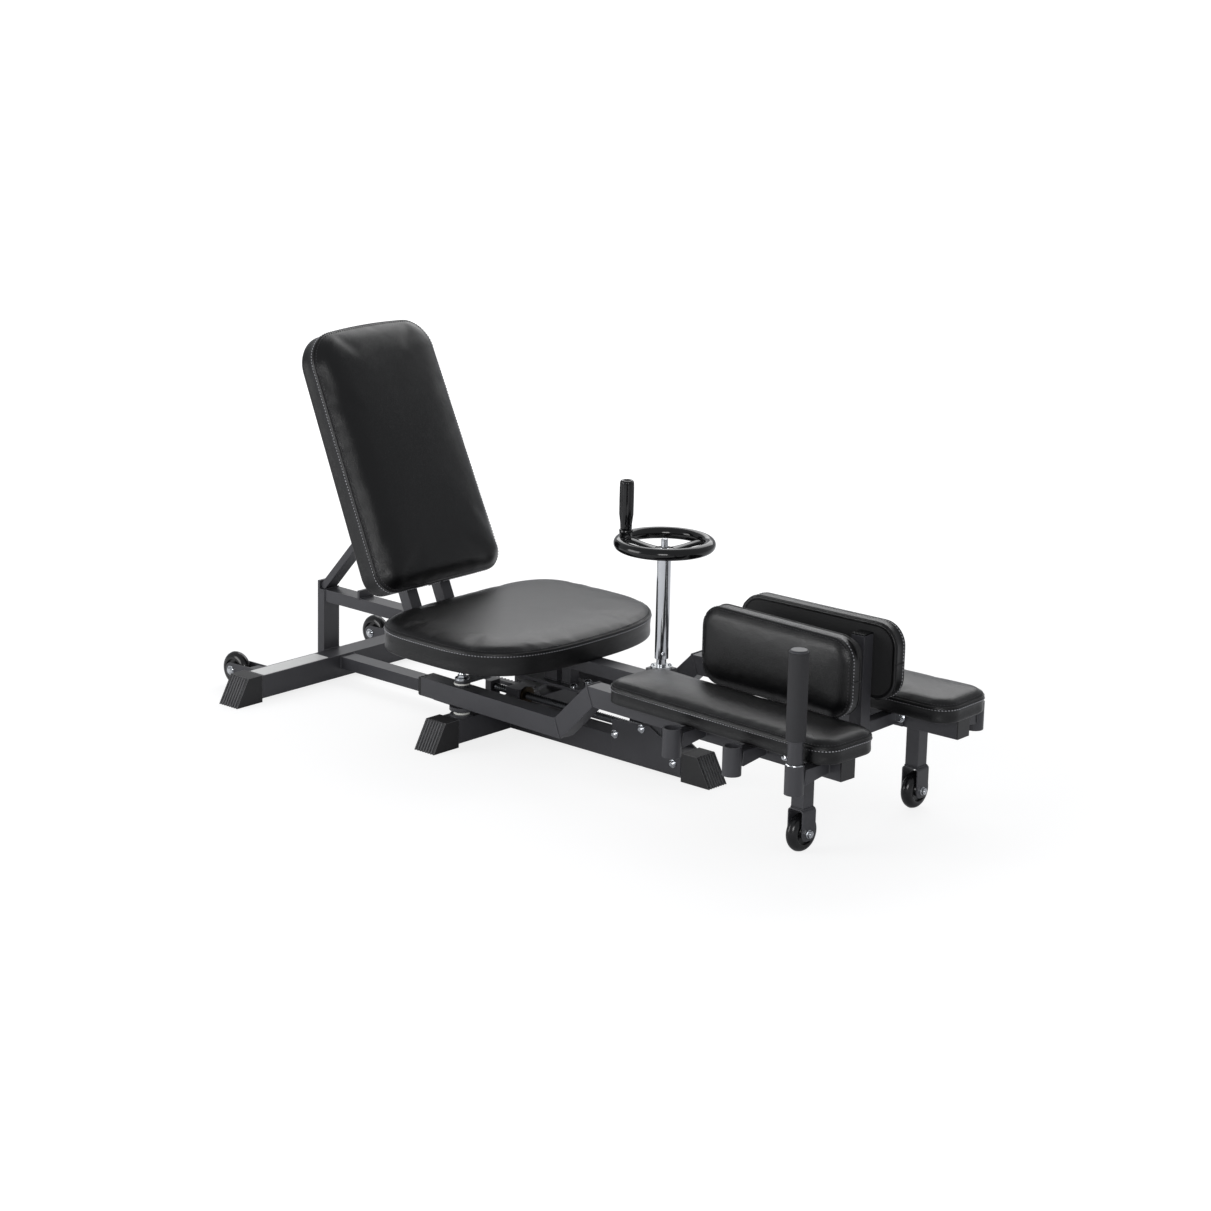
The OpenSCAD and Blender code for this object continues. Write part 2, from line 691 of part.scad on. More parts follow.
module drive_nut() color(brass) placed() translate([0, 0, screw_z]) difference() {
    union() {
        rod_x(screw_d / 2 + 5, nut_x, nut_x + nut_l);
        rod_x(screw_d / 2 + 11, nut_x + nut_l, nut_x + nut_l + 6);
    }
    rod_x(screw_d / 2 + run, nut_x - over, nut_x + nut_l + 6 + over);
}

module rack_guides() color(brass) placed()
    for (side = [-1, 1])
        translate([mid_foot_x - 21, side * (rack_inner - gap - 5) - 5, foot_top])
            cube([19, 10, gear_z + gear_t - foot_top]);

module screw_front_bush() color(brass) placed() translate([0, 0, screw_z]) difference() {
    union() {
        rod_x(screw_d / 2 + 4, post_back, post_back + post_wall);
        rod_x(screw_d / 2 + 7, post_back - 8, post_back);
    }
    rod_x(screw_d / 2 + run, post_back - 8 - over, post_back + post_wall + over);
}

bevel_back = bevel_r + 4;

module lead_screw() color(chrome) placed() translate([0, 0, screw_z]) {
    rod_x(screw_d / 2 - 2, screw_back - 18, screw_back + gap);
    rod_x(screw_d / 2, screw_back + gap, column_x - bevel_back);
}

// Straight bevel gear: teeth that shrink toward the point where both axes meet, large end on z = 0
module bevel_gear(turn) {
    shrink = (bevel_r - bevel_face) / bevel_r;
    rotate([0, 0, turn]) linear_extrude(height = bevel_face, scale = shrink)
        polygon([for (k = [0:bevel_teeth - 1]) each gear_tooth(bevel_r, bevel_teeth,
            0.55 * bevel_module, 1.1 * bevel_module, k * 360 / bevel_teeth)]);
    translate([0, 0, -4]) cylinder(r = bevel_r - 3, h = 4);
}

module screw_bevel_gear() color(chrome) placed() translate([column_x - bevel_r, 0, screw_z])
    rotate([0, 90, 0]) bevel_gear(180 / bevel_teeth);

// Flanged bearing of the vertical shaft on the seat beam
module column_bearing() color(chrome) placed() translate([column_x, 0, top_beam_bottom]) difference() {
    union() {
        cylinder(r = shaft_d / 2 + 3, h = top_beam_h + block_h);
        translate([0, 0, top_beam_h + block_h]) cylinder(r = 22, h = flange_t);
    }
    translate([0, 0, -over])
        cylinder(r = shaft_d / 2 + run, h = top_beam_h + block_h + flange_t + 2 * over);
}

// Vertical shaft with its bevel gear at the foot, and the chrome stem with its set screw
module drive_shaft() color(chrome) placed() translate([column_x, 0, 0]) {
    translate([0, 0, screw_z + bevel_r]) rotate([180, 0, 0]) bevel_gear(0);
    translate([0, 0, screw_z + bevel_back]) cylinder(r = shaft_d / 2, h = stem_bottom - screw_z - bevel_back);
    translate([0, 0, stem_bottom]) cylinder(r = stem_d / 2, h = stem_top - stem_bottom);
    translate([0, 0, stem_top]) cylinder(r = 9, h = hand_z + 20 - stem_top);
    translate([0, 0, stem_bottom + 12]) rotate([0, 0, -35]) rod_x(4, stem_d / 2 - 2, stem_d / 2 + 4);
}

module handwheel() color(plastic) placed() translate([column_x, 0, hand_z]) {
    difference() {
        union() {
            rotate_extrude() translate([rim_r, 0]) circle(r = rim_d / 2);
            translate([0, 0, -24]) cylinder(r1 = 19, r2 = 23, h = 38);
            for (turn = [70, 190, 310]) rotate([0, 0, turn])
                translate([0, -13, -7]) cube([rim_r - 3, 26, 9]);
            translate(polar3(rim_r, handle_angle, 0)) cylinder(r = 14, h = boss_h);
        }
        translate([0, 0, -24 - over]) cylinder(r = 9, h = 60);
        translate(polar3(rim_r, handle_angle, -20)) cylinder(r = 4, h = 60);
    }
}

function polar3(r, a, z) = [r * cos(a), r * sin(a), z];

// Bolt of the turning handle, fixed in the rim
module handle_spindle() color(chrome) placed()
    translate([column_x, 0, 0]) translate(polar3(rim_r, handle_angle, 0)) {
        foot = hand_z - rim_d / 2 + 4;
        translate([0, 0, foot]) cylinder(r = 4, h = handle_z + handle_l - 6 - foot);
        translate([0, 0, handle_z + handle_l - 6]) cylinder(r = 7, h = 3);
    }

// Turning handle: a fluted grip with a bore, narrow at its foot
module handle_grip() color(plastic) placed()
    translate([column_x, 0, handle_z]) translate(polar3(rim_r, handle_angle, 0)) difference() {
        union() {
            cylinder(r1 = 11.5, r2 = 12, h = 8);
            translate([0, 0, 8]) cylinder(r1 = 12, r2 = 15, h = 22);
            translate([0, 0, 30]) cylinder(r1 = 15, r2 = 14.4, h = handle_l - 34);
            translate([0, 0, handle_l - 4]) cylinder(r1 = 14.4, r2 = 12.4, h = 4);
        }
        translate([0, 0, -over]) cylinder(r = 4 + run, h = handle_l - 6 + over);
        translate([0, 0, handle_l - 6 - gap]) cylinder(r = 7 + gap, h = 8);
        for (i = [0:7]) rotate([0, 0, 45 * i])
            translate([16.8, 0, handle_l - 22]) cylinder(r = 4, h = 30);
    }

// Backrest

// Frame of the backrest: x goes up along it, z forward out of its face, from the hinge
module on_backrest() placed() translate([hinge_x, 0, hinge_z])
    rotate([0, -90 - back_lean, 0]) mirror([0, 0, 1]) mirror([0, 1, 0]) children();

// Two support tubes with cross bars, and the lugs with the pin on which the strut swings
module backrest_frame() color(steel) on_backrest() {
    top = back_start + back_l - tube_short;
    for (side = [-1, 1]) difference() {
        translate([-support_t / 2, side * support_gap / 2 - support_w / 2, -support_t / 2])
            cube([top + support_t / 2, support_w, support_t]);
        translate([-support_t / 2 - over, side * support_gap / 2 - support_w / 2 + 2, 2 - support_t / 2])
            cube([top + support_t / 2 + 2 * over, support_w - 4, support_t - 4]);
        rod_y(hinge_r + run, side * support_gap / 2 - support_w, side * support_gap / 2 + support_w);
    }
    inner = support_gap / 2 - support_w / 2;
    for (s = [strut_s, top - 40])
        translate([s - 10, -inner, -8]) cube([20, 2 * inner, 16]);
    for (side = [-1, 1])
        translate([strut_s, side * lug_mid + lug_t / 2, 0]) rotate([90, 0, 0]) linear_extrude(lug_t)
            union() {
                translate([0, strut_n]) circle(r = 11);
                translate([-11, strut_n]) square([22, -strut_n - 8]);
            }
    translate([strut_s, 0, strut_n]) {
        rod_y(pin_r, -lug_mid - lug_t / 2, lug_mid + lug_t / 2);
        translate([0, -lug_mid - lug_t / 2, 0]) rotate([90, 0, 0]) bolt_head(7, 4);
        translate([0, lug_mid + lug_t / 2, 0]) rotate([-90, 0, 0]) hex_prism(13, 5);
    }
}

module on_back_pad() on_backrest() translate([back_start + back_l / 2, 0, back_board_n]) children();

module backrest_board() color(wood) on_back_pad() board(back_path, back_half, board_t);

module backrest_cushion() color(vinyl) on_back_pad() cushion(back_path, back_half, back_h, 12);

// Strut from the backrest down to a stop, with a round bar welded across its foot
module backrest_strut() color(steel) placed()
    translate([strut_top_x, 0, strut_top_z]) rotate([0, strut_angle, 0]) difference() {
        union() {
            rod_y(pin_r + 5, -strut_w / 2, strut_w / 2);
            translate([0, 0, -strut_l]) rod_y(strut_t / 2, -strut_w / 2, strut_w / 2);
            difference() {
                translate([-strut_t / 2, -strut_w / 2, -strut_l]) cube([strut_t, strut_w, strut_l]);
                translate([2 - strut_t / 2, 2 - strut_w / 2, 12 - strut_l])
                    cube([strut_t - 4, strut_w - 4, strut_l - 24]);
            }
        }
        rod_y(pin_r + run, -strut_w, strut_w);
    }

// Leg arms, drawn for the near side: x runs along the arm from its pivot, +Y points to the middle plane

module near_side() placed() translate([mid_foot_x, -pivot_y, 0]) rotate([0, 0, -closed_angle]) children();

module far_side() mirror([0, 1, 0]) near_side() children();

// Line of the arm's upper edge moved down by d, from x0 to x1
function arm_line(x0, x1, d) = let (low = arm_low_z + arm_tube - d, high = low + arm_rise, k = bend_tan * d)
    [[x0, low], [arm_bend + k, low], [arm_bend + arm_rise + k, high], [x1, high]];
function turned(list) = [for (i = [len(list) - 1:-1:0]) list[i]];

function part_of(list, first, last) = [for (i = [first:last]) list[i]];

// Points first to last of both edges, made into a bar that is 2 * half wide
module arm_section(x0, x1, inset, half, first = 0, last = 3) translate([0, half, 0]) rotate([90, 0, 0])
    linear_extrude(2 * half) polygon(concat(
        part_of(arm_line(x0, x1, inset), first, last),
        turned(part_of(arm_line(x0, x1, arm_tube - inset), first, last))));

module peg_sleeve() difference() {
    translate([0, 0, sleeve_bottom]) cylinder(r = sleeve_r, h = sleeve_h);
    translate([0, 0, sleeve_bottom + sleeve_floor_t]) cylinder(r = peg_d / 2 + peg_clearance, h = sleeve_h);
    translate([0, 0, sleeve_bottom - over]) cylinder(r = 10, h = sleeve_h);
}

// Bar from the arm to a sleeve, deeper at the sleeve
module peg_bar(u, out, in) translate([u - 14, 0, 0]) rotate([90, 0, 90]) linear_extrude(28)
    polygon([[-in, arm_high_z + 12], [-in, arm_high_z + 32],
        [-out, arm_high_z + 32], [-out, arm_high_z + 2]]);

// Low rear tube of an arm with its pivot hub and the rise up to the mitre of the front tube
module arm_rear() {
    half = arm_tube / 2;
    difference() {
        union() {
            difference() {
                arm_section(-arm_tail, arm_reach, 0, half, 0, 2);
                arm_section(-arm_tail - over, arm_reach, arm_wall, half - arm_wall);
            }
            translate([0, 0, hub_bottom]) cylinder(r = hub_r, h = hub_top - hub_bottom);
        }
        translate([0, 0, hub_bottom - over])
            cylinder(r = pivot_d / 2 + run, h = hub_top - hub_bottom + 2 * over);
    }
}

// High front tube of an arm with its pad plates and caster post
module arm_front() {
    half = arm_tube / 2;
    difference() {
        arm_section(-arm_tail, arm_reach, 0, half, 2, 3);
        arm_section(-arm_tail, arm_reach + over, arm_wall, half - arm_wall);
    }
    for (u = [leg_pad_u - leg_pad_l * 0.32, leg_pad_u + leg_pad_l * 0.32])
        translate([u - 20, -leg_pad_w / 2 + 16, arm_high_z + arm_tube])
            cube([40, leg_pad_w - 32, pad_plate_t]);
    difference() {
        translate([caster_u - 15, -15, fork_top]) cube([30, 30, arm_high_z - fork_top]);
        translate([caster_u - 12.5, -12.5, fork_top - over]) cube([25, 25, arm_high_z - fork_top - 2]);
    }
}

// Sleeves for the foot pegs, each on its bar from the side of the arm
module peg_sleeves()
    for (i = [0:sleeve_count - 1], u = [sleeve_first + i * sleeve_gap]) {
        translate([u, -sleeve_out, 0]) peg_sleeve();
        peg_bar(u, sleeve_out - sleeve_r + 1.5, arm_tube / 2);
    }

// Plugs in both ends of an arm, the rear one with rounded edges
module arm_plugs() {
    inner = arm_tube - 2 * arm_wall;
    translate([-arm_tail, -inner / 2, arm_low_z + arm_wall]) cube([12, inner, inner]);
    translate([-arm_tail, arm_tube / 2, arm_low_z + arm_tube / 2]) rotate([90, 0, 0])
        linear_extrude(arm_tube) intersection() {
            polygon(round_rect(8, arm_tube / 2, 4, 4));
            translate([-8, -arm_tube / 2]) square([8, arm_tube]);
        }
    translate([arm_reach - 12, -inner / 2, arm_high_z + arm_wall]) cube([12, inner, inner]);
    translate([arm_reach, -arm_tube / 2, arm_high_z]) cube([3, arm_tube, arm_tube]);
}

module leg_place() translate([leg_pad_u, 0, pad_z]) children();

// Frame of the inner pad: x along the arm, y up, z outward from the board to the cushion's face
module inner_place() translate([inner_pad_u, inner_board_in, inner_pad_mid_z]) rotate([90, 0, 0]) children();

// Post behind the inner pad, its bar from the arm and the plate that is bolted to the arm
module inner_post_part() {
    half = inner_post / 2;
    bar_z = arm_high_z + 10;
    plate_t = 5;
    in_face = arm_tube / 2 + gap;
    difference() {
        translate([post_u - half, inner_board_in + gap, bar_z - 5])
            cube([inner_post, inner_post, inner_pad_z + inner_pad_w - 20 - bar_z]);
        translate([post_u - half + 2, inner_board_in + gap + 2, bar_z + 22])
            cube([inner_post - 4, inner_post - 4, inner_pad_w + inner_pad_z]);
    }
    translate([post_u - 12, in_face + plate_t, bar_z - 2])
        cube([24, inner_board_in + gap - in_face - plate_t, 24]);
    translate([post_u - 21, in_face, arm_high_z + 1]) cube([42, plate_t, 38]);
    for (u = [-15, 15])
        translate([post_u + u, in_face + plate_t, arm_high_z + 20]) rotate([-90, 0, 0]) bolt_head(5, 5);
}

// Fork and axle bolt of a caster that rolls across the arm
module caster_fork() {
    difference() {
        union() {
            translate([caster_u - fork_half - fork_t, -fork_w / 2, fork_top - fork_t])
                cube([2 * (fork_half + fork_t), fork_w, fork_t]);
            for (x = [-fork_half - fork_t, fork_half])
                translate([caster_u + x, -fork_w / 2, wheel_r - 14])
                    cube([fork_t, fork_w, fork_top - wheel_r + 14]);
        }
        translate([caster_u, 0, wheel_r]) rod_x(axle_r, -fork_w, fork_w);
    }
    translate([caster_u, 0, wheel_r]) rotate([0, 0, 90]) axle_bolt(fork_half + fork_t);
}

module caster_wheel() translate([caster_u, 0, wheel_r]) rotate([0, 0, 90]) wheel();

module near_arm_rear() color(steel) near_side() arm_rear();
module near_arm_front() color(steel) near_side() arm_front();
module near_peg_sleeves() color(steel) near_side() peg_sleeves();
module near_arm_plugs() color(plastic) near_side() arm_plugs();
module near_sector_gear() color(steel) near_side() sector_gear();
module near_leg_board() color(wood) near_side() leg_place() board(leg_path, leg_half, board_t);
module near_leg_cushion() color(vinyl) near_side() leg_place() cushion(leg_path, leg_half, leg_pad_h, 8);
module near_inner_post() color(steel) near_side() inner_post_part();
module near_inner_board() color(wood) near_side() inner_place() board(inner_path, inner_half, board_t);
module near_inner_cushion() color(vinyl) near_side() inner_place()
    cushion(inner_path, inner_half, inner_pad_h, 6);
module near_caster_fork() color(steel) near_side() caster_fork();
module near_caster_wheel() color(plastic) near_side() caster_wheel();

module far_arm_rear() color(steel) far_side() arm_rear();
module far_arm_front() color(steel) far_side() arm_front();
module far_peg_sleeves() color(steel) far_side() peg_sleeves();
module far_arm_plugs() color(plastic) far_side() arm_plugs();
module far_sector_gear() color(steel) far_side() sector_gear();
module far_leg_board() color(wood) far_side() leg_place() board(leg_path, leg_half, board_t);
module far_leg_cushion() color(vinyl) far_side() leg_place() cushion(leg_path, leg_half, leg_pad_h, 8);
module far_inner_post() color(steel) far_side() inner_post_part();
module far_inner_board() color(wood) far_side() inner_place() board(inner_path, inner_half, board_t);
module far_inner_cushion() color(vinyl) far_side() inner_place()
    cushion(inner_path, inner_half, inner_pad_h, 6);
module far_caster_fork() color(steel) far_side() caster_fork();
module far_caster_wheel() color(plastic) far_side() caster_wheel();

// Foot peg in the front sleeve of the near arm
peg_bottom = sleeve_bottom + sleeve_floor_t;
grip_bottom = sleeve_top + grip_gap;

module at_peg() near_side()
    translate([sleeve_first + (sleeve_count - 1) * sleeve_gap, -sleeve_out, 0]) children();

module foot_peg() color(steel) at_peg() {
    translate([0, 0, peg_bottom]) difference() {
        cylinder(r = peg_d / 2, h = grip_bottom + grip_l - peg_bottom);
        translate([0, 0, -over])
            cylinder(r = peg_d / 2 - 2, h = grip_bottom + grip_l - peg_bottom - 4 + over);
    }
    translate([0, 0, grip_bottom - 2]) cylinder(r = peg_d / 2 + 2.5, h = 2);
    translate([0, 0, grip_bottom + grip_l]) cylinder(r = grip_d / 2 - 1, h = 2);
    translate([0, 0, grip_bottom + grip_l + 2]) cylinder(r1 = grip_d / 2 - 1, r2 = grip_d / 2 - 4, h = 3);
}

module peg_grip() color(rubber) at_peg() translate([0, 0, grip_bottom]) difference() {
    cylinder(r = grip_d / 2, h = grip_l);
    translate([0, 0, -over]) cylinder(r = peg_d / 2, h = grip_l + 2 * over);
}

rear_stabilizer();
mid_stabilizer();
rear_lower_beam();
front_lower_beam();
rear_upright();
top_beam();
front_post();
front_cheeks();
frame_bolts();
end_caps();
transport_wheel_brackets();
pivot_bolts();
pivot_washers();
seat_bridge();
seat_board();
seat_cushion();
screw_front_bush();
column_bearing();
rack_guides();
backrest_frame();
backrest_board();
backrest_cushion();
backrest_strut();
near_arm_rear();
near_arm_front();
near_peg_sleeves();
near_arm_plugs();
near_sector_gear();
near_leg_board();
near_leg_cushion();
near_inner_post();
near_inner_board();
near_inner_cushion();
near_caster_fork();
far_arm_rear();
far_arm_front();
far_peg_sleeves();
far_arm_plugs();
far_sector_gear();
far_leg_board();
far_leg_cushion();
far_inner_post();
far_inner_board();
far_inner_cushion();
far_caster_fork();
near_caster_wheel();
far_caster_wheel();
near_transport_wheel();
far_transport_wheel();
handwheel();
drive_shaft();
handle_spindle();
handle_grip();
lead_screw();
screw_bevel_gear();
gear_racks();
rack_saddle();
drive_nut();
foot_peg();
peg_grip();
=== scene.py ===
import math
import bmesh
import bpy
import numpy as np
from mathutils import Matrix


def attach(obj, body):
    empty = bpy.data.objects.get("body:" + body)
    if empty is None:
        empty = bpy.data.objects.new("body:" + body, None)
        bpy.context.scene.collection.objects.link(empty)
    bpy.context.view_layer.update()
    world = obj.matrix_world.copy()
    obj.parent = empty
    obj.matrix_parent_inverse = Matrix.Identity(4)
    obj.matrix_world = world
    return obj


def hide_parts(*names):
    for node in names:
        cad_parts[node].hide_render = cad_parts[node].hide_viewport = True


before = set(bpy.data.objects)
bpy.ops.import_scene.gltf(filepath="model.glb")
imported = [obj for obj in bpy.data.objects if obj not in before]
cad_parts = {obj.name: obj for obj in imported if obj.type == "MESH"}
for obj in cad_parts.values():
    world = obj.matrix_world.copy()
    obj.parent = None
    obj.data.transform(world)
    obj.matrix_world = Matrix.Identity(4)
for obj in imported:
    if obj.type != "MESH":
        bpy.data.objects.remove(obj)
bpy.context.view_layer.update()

# Camera at the photograph's place. It was solved from the welded tubes and the five rubber feet,
# and stands in front of the near leg pad, a little above the handwheel.


middle_x = 706.9635  # mm from the rear stabilizer's middle forward to the frame's origin


def place(points):
    """Turns millimetres, counted forward from the rear stabilizer's middle, into the frame's metres."""
    return (np.asarray(points, float) - (middle_x, 0.0, 0.0)) / 1000.0


azimuth, elevation, roll = math.radians(41.15), math.radians(15.4), math.radians(1.34)
focal_px, photo_px, sensor_mm = 3318.49, 1211.0, 36.0
back = np.array([math.sin(azimuth) * math.cos(elevation), -math.cos(azimuth) * math.cos(elevation),
                 math.sin(elevation)])
level = np.array([math.cos(azimuth), math.sin(azimuth), 0.0])
rise = np.cross(back, level)
right = math.cos(roll) * level + math.sin(roll) * rise
upward = -math.sin(roll) * level + math.cos(roll) * rise
spot = place([5060.78, -4903.89, 2109.13])
lens = bpy.data.cameras.new("photo_camera")
lens.sensor_width = sensor_mm
lens.lens = sensor_mm * focal_px / photo_px
lens.clip_end = 60.0
camera = bpy.data.objects.new("photo_camera", lens)
camera.matrix_world = Matrix([[right[i], upward[i], back[i], spot[i]] for i in range(3)] + [[0, 0, 0, 1]])
bpy.context.scene.collection.objects.link(camera)
bpy.context.scene.camera = camera
bpy.context.scene.view_settings.view_transform = "Standard"

# White seamless paper under the machine and an even white studio. The paper is lit softly and its
# far part shines a little more, so that only a faint shadow stays under the frame.


def linear(code):
    """sRGB hex to linear: c / 12.92 under 0.04045, otherwise ((c + 0.055) / 1.055) to the power 2.4."""
    parts = [int(code[i:i + 2], 16) / 255.0 for i in (1, 3, 5)]
    return [c / 12.92 if c <= 0.04045 else ((c + 0.055) / 1.055) ** 2.4 for c in parts] + [1.0]


def wire(tree, kind, inputs=None, **settings):
    """Adds one node with its settings, and gives each named input its value or its link."""
    node = tree.nodes.new(kind)
    for key, value in settings.items():
        setattr(node, key, value)
    for key, value in (inputs or {}).items():
        if isinstance(value, bpy.types.NodeSocket):
            tree.links.new(value, node.inputs[key])
        else:
            node.inputs[key].default_value = value
    return node


def build_mesh(name, points, faces, smooth_angle=None):
    """A mesh object from metre points and faces, smooth where neighbours meet under the given angle."""
    mesh = bpy.data.meshes.new(name)
    mesh.from_pydata(np.asarray(points).tolist(), [], [tuple(int(i) for i in face) for face in faces])
    if smooth_angle is not None:
        mesh.shade_smooth()
        mesh.set_sharp_from_angle(angle=math.radians(smooth_angle))
    piece = bpy.data.objects.new(name, mesh)
    bpy.context.scene.collection.objects.link(piece)
    return piece


paper_half, paper_z = 40.0, -0.0004
paper = build_mesh("studio_paper", [[x * paper_half, y * paper_half, paper_z]
                                    for x, y in ((-1, -1), (1, -1), (1, 1), (-1, 1))], [[0, 1, 2, 3]])
paper_white = bpy.data.materials.new("matt_white_paper")
paper_white.use_nodes = True
tree = paper_white.node_tree
tree.nodes.clear()
grain = wire(tree, "ShaderNodeTexNoise", {"Scale": 40.0, "Detail": 4.0})
tone = wire(tree, "ShaderNodeMix", {"Factor": grain.outputs["Fac"], "A": linear("#f4f4f5"), "B": linear("#f9f9fa")},
            data_type="RGBA")
matt = wire(tree, "ShaderNodeBsdfDiffuse", {"Color": tone.outputs["Result"]})
where = wire(tree, "ShaderNodeTexCoord")
away = wire(tree, "ShaderNodeVectorMath", {0: where.outputs["Object"]}, operation="LENGTH")
even_out = wire(tree, "ShaderNodeMapRange", {"Value": away.outputs["Value"], "From Min": 1.0, "From Max": 3.5,
                                             "To Min": 1.16, "To Max": 1.62})
glow = wire(tree, "ShaderNodeEmission", {"Color": [1, 1, 1, 1], "Strength": even_out.outputs[0]})
rays = wire(tree, "ShaderNodeLightPath")
seen = wire(tree, "ShaderNodeMath", {0: rays.outputs["Is Camera Ray"], 1: 0.70}, operation="MULTIPLY")
both = wire(tree, "ShaderNodeMixShader", {"Fac": seen.outputs[0], 1: matt.outputs[0], 2: glow.outputs[0]})
wire(tree, "ShaderNodeOutputMaterial", {"Surface": both.outputs[0]})
paper.data.materials.append(paper_white)

room = bpy.data.worlds.new("white_studio")
room.use_nodes = True
bpy.context.scene.world = room
tree = room.node_tree
tree.nodes.clear()
rays = wire(tree, "ShaderNodeLightPath")
visible = wire(tree, "ShaderNodeMath", {0: rays.outputs["Is Camera Ray"], 1: rays.outputs["Is Transmission Ray"]},
               operation="MAXIMUM")
soft_room = wire(tree, "ShaderNodeBackground", {"Color": linear("#f2f4f8"), "Strength": 0.44})
white_room = wire(tree, "ShaderNodeBackground", {"Color": [1, 1, 1, 1], "Strength": 1.0})
both = wire(tree, "ShaderNodeMixShader", {"Fac": visible.outputs[0], 1: soft_room.outputs[0],
                                          2: white_room.outputs[0]})
wire(tree, "ShaderNodeOutputWorld", {"Surface": both.outputs[0]})


def softbox(name, position, target, size, power):
    """A square area lamp that looks from its position to a target, both in metres."""
    lamp = bpy.data.lights.new(name, "AREA")
    lamp.shape = "RECTANGLE"
    lamp.size, lamp.size_y = size
    lamp.energy = power
    holder = bpy.data.objects.new(name, lamp)
    away = np.array(position, float) - np.array(target, float)
    away /= np.linalg.norm(away)
    side = np.cross((0.0, 0.0, 1.0), away) if abs(away[2]) < 0.99 else np.array([1.0, 0.0, 0.0])
    side /= np.linalg.norm(side)
    head = np.cross(away, side)
    holder.matrix_world = Matrix([[side[i], head[i], away[i], position[i]] for i in range(3)] + [[0, 0, 0, 1]])
    bpy.context.scene.collection.objects.link(holder)


lamps_aim = (0.0, 0.0, 0.3)
softbox("overhead_softbox", (-1.2, 2.1, 2.2), lamps_aim, (3.4, 2.2), 47.0)
softbox("front_softbox", (2.8, -3.4, 1.6), lamps_aim, (1.5, 1.35), 46.0)
softbox("left_softbox", (-1.9, -3.3, 1.2), lamps_aim, (2.2, 1.8), 54.0)

# Welded frame of square mild steel tube, bead blasted and powder coated satin black. The baked
# powder leaves a fine orange peel, and handling rubs the corners to a slightly brighter grey.


def new_finish(name):
    """An empty node material named for a real finish, with its shader and output joined."""
    finish = bpy.data.materials.new(name)
    finish.use_nodes = True
    finish.node_tree.nodes.clear()
    shader = wire(finish.node_tree, "ShaderNodeBsdfPrincipled")
    wire(finish.node_tree, "ShaderNodeOutputMaterial", {"Surface": shader.outputs[0]})
    return finish, finish.node_tree, shader


def dress(finish, *names):
    """Gives CAD nodes their finish."""
    for name in names:
        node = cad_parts[name]
        node.data.materials.clear()
        node.data.materials.append(finish)


def coat(name, dark, light, edge_wear_and_highlight, rough, peel_mm, peel_height, edge_mm, wear_and_highlight_amount):
    """Coated surface: two tones mixed in patches of about 110 mm, edges rounded by edge_mm that turn
    lighter, as rubbed wear on the frame and as a painted highlight on the rubber caps, and a fine peel whose cells
    and height are given in mm."""
    finish, tree, shader = new_finish(name)
    where = wire(tree, "ShaderNodeTexCoord")
    cloud = wire(tree, "ShaderNodeTexNoise", {"Vector": where.outputs["Object"], "Scale": 9.0, "Detail": 5.0})
    peel = wire(tree, "ShaderNodeTexNoise", {"Vector": where.outputs["Object"], "Scale": 1000.0 / peel_mm,
                                             "Detail": 2.0})
    round_edge = wire(tree, "ShaderNodeBevel", {"Radius": edge_mm / 1000.0}, samples=4)
    flat = wire(tree, "ShaderNodeNewGeometry")
    same = wire(tree, "ShaderNodeVectorMath", {0: round_edge.outputs[0], 1: flat.outputs["Normal"]},
                operation="DOT_PRODUCT")
    # Lighter edges: rubbed wear on the frame, a painted highlight on the rubber caps.
    edge = wire(tree, "ShaderNodeMapRange", {"Value": same.outputs["Value"], "From Min": 0.995, "From Max": 0.85,
                                             "To Min": 0.0, "To Max": wear_and_highlight_amount})
    patchy = wire(tree, "ShaderNodeMath", {0: edge.outputs[0], 1: cloud.outputs["Fac"]}, operation="MULTIPLY")
    body = wire(tree, "ShaderNodeMix", {"Factor": cloud.outputs["Fac"], "A": linear(dark), "B": linear(light)},
                data_type="RGBA")
    rubbed_and_highlit = wire(tree, "ShaderNodeMix", {"Factor": patchy.outputs[0], "A": body.outputs["Result"],
                                          "B": linear(edge_wear_and_highlight)}, data_type="RGBA")
    gloss = wire(tree, "ShaderNodeMapRange", {"Value": cloud.outputs["Fac"], "To Min": rough - 0.05,
                                              "To Max": rough + 0.07})
    bumps = wire(tree, "ShaderNodeBump", {"Height": peel.outputs["Fac"], "Distance": peel_height / 1000.0,
                                          "Strength": 0.6, "Normal": round_edge.outputs[0]})
    tree.links.new(rubbed_and_highlit.outputs["Result"], shader.inputs["Base Color"])
    tree.links.new(gloss.outputs[0], shader.inputs["Roughness"])
    tree.links.new(bumps.outputs[0], shader.inputs["Normal"])
    return finish


powder_coat = coat("satin_black_powder_coat", "#323235", "#3f3f43", "#66666b", 0.38, 3.0, 0.10, 1.6, 0.9)
dress(powder_coat, "rear_stabilizer", "mid_stabilizer", "rear_lower_beam", "front_lower_beam", "rear_upright",
      "top_beam", "front_post", "front_cheeks", "seat_bridge", "transport_wheel_brackets", "backrest_frame",
      "backrest_strut", "gear_racks", "rack_saddle", "foot_peg")
for side in ("near", "far"):
    dress(powder_coat, side + "_arm_rear", side + "_arm_front", side + "_peg_sleeves", side + "_sector_gear",
          side + "_inner_post")

# Weld beads where the tubes meet. MIG runs about 5 mm wide with the ripple of the torch, coated
# over with the frame's powder.


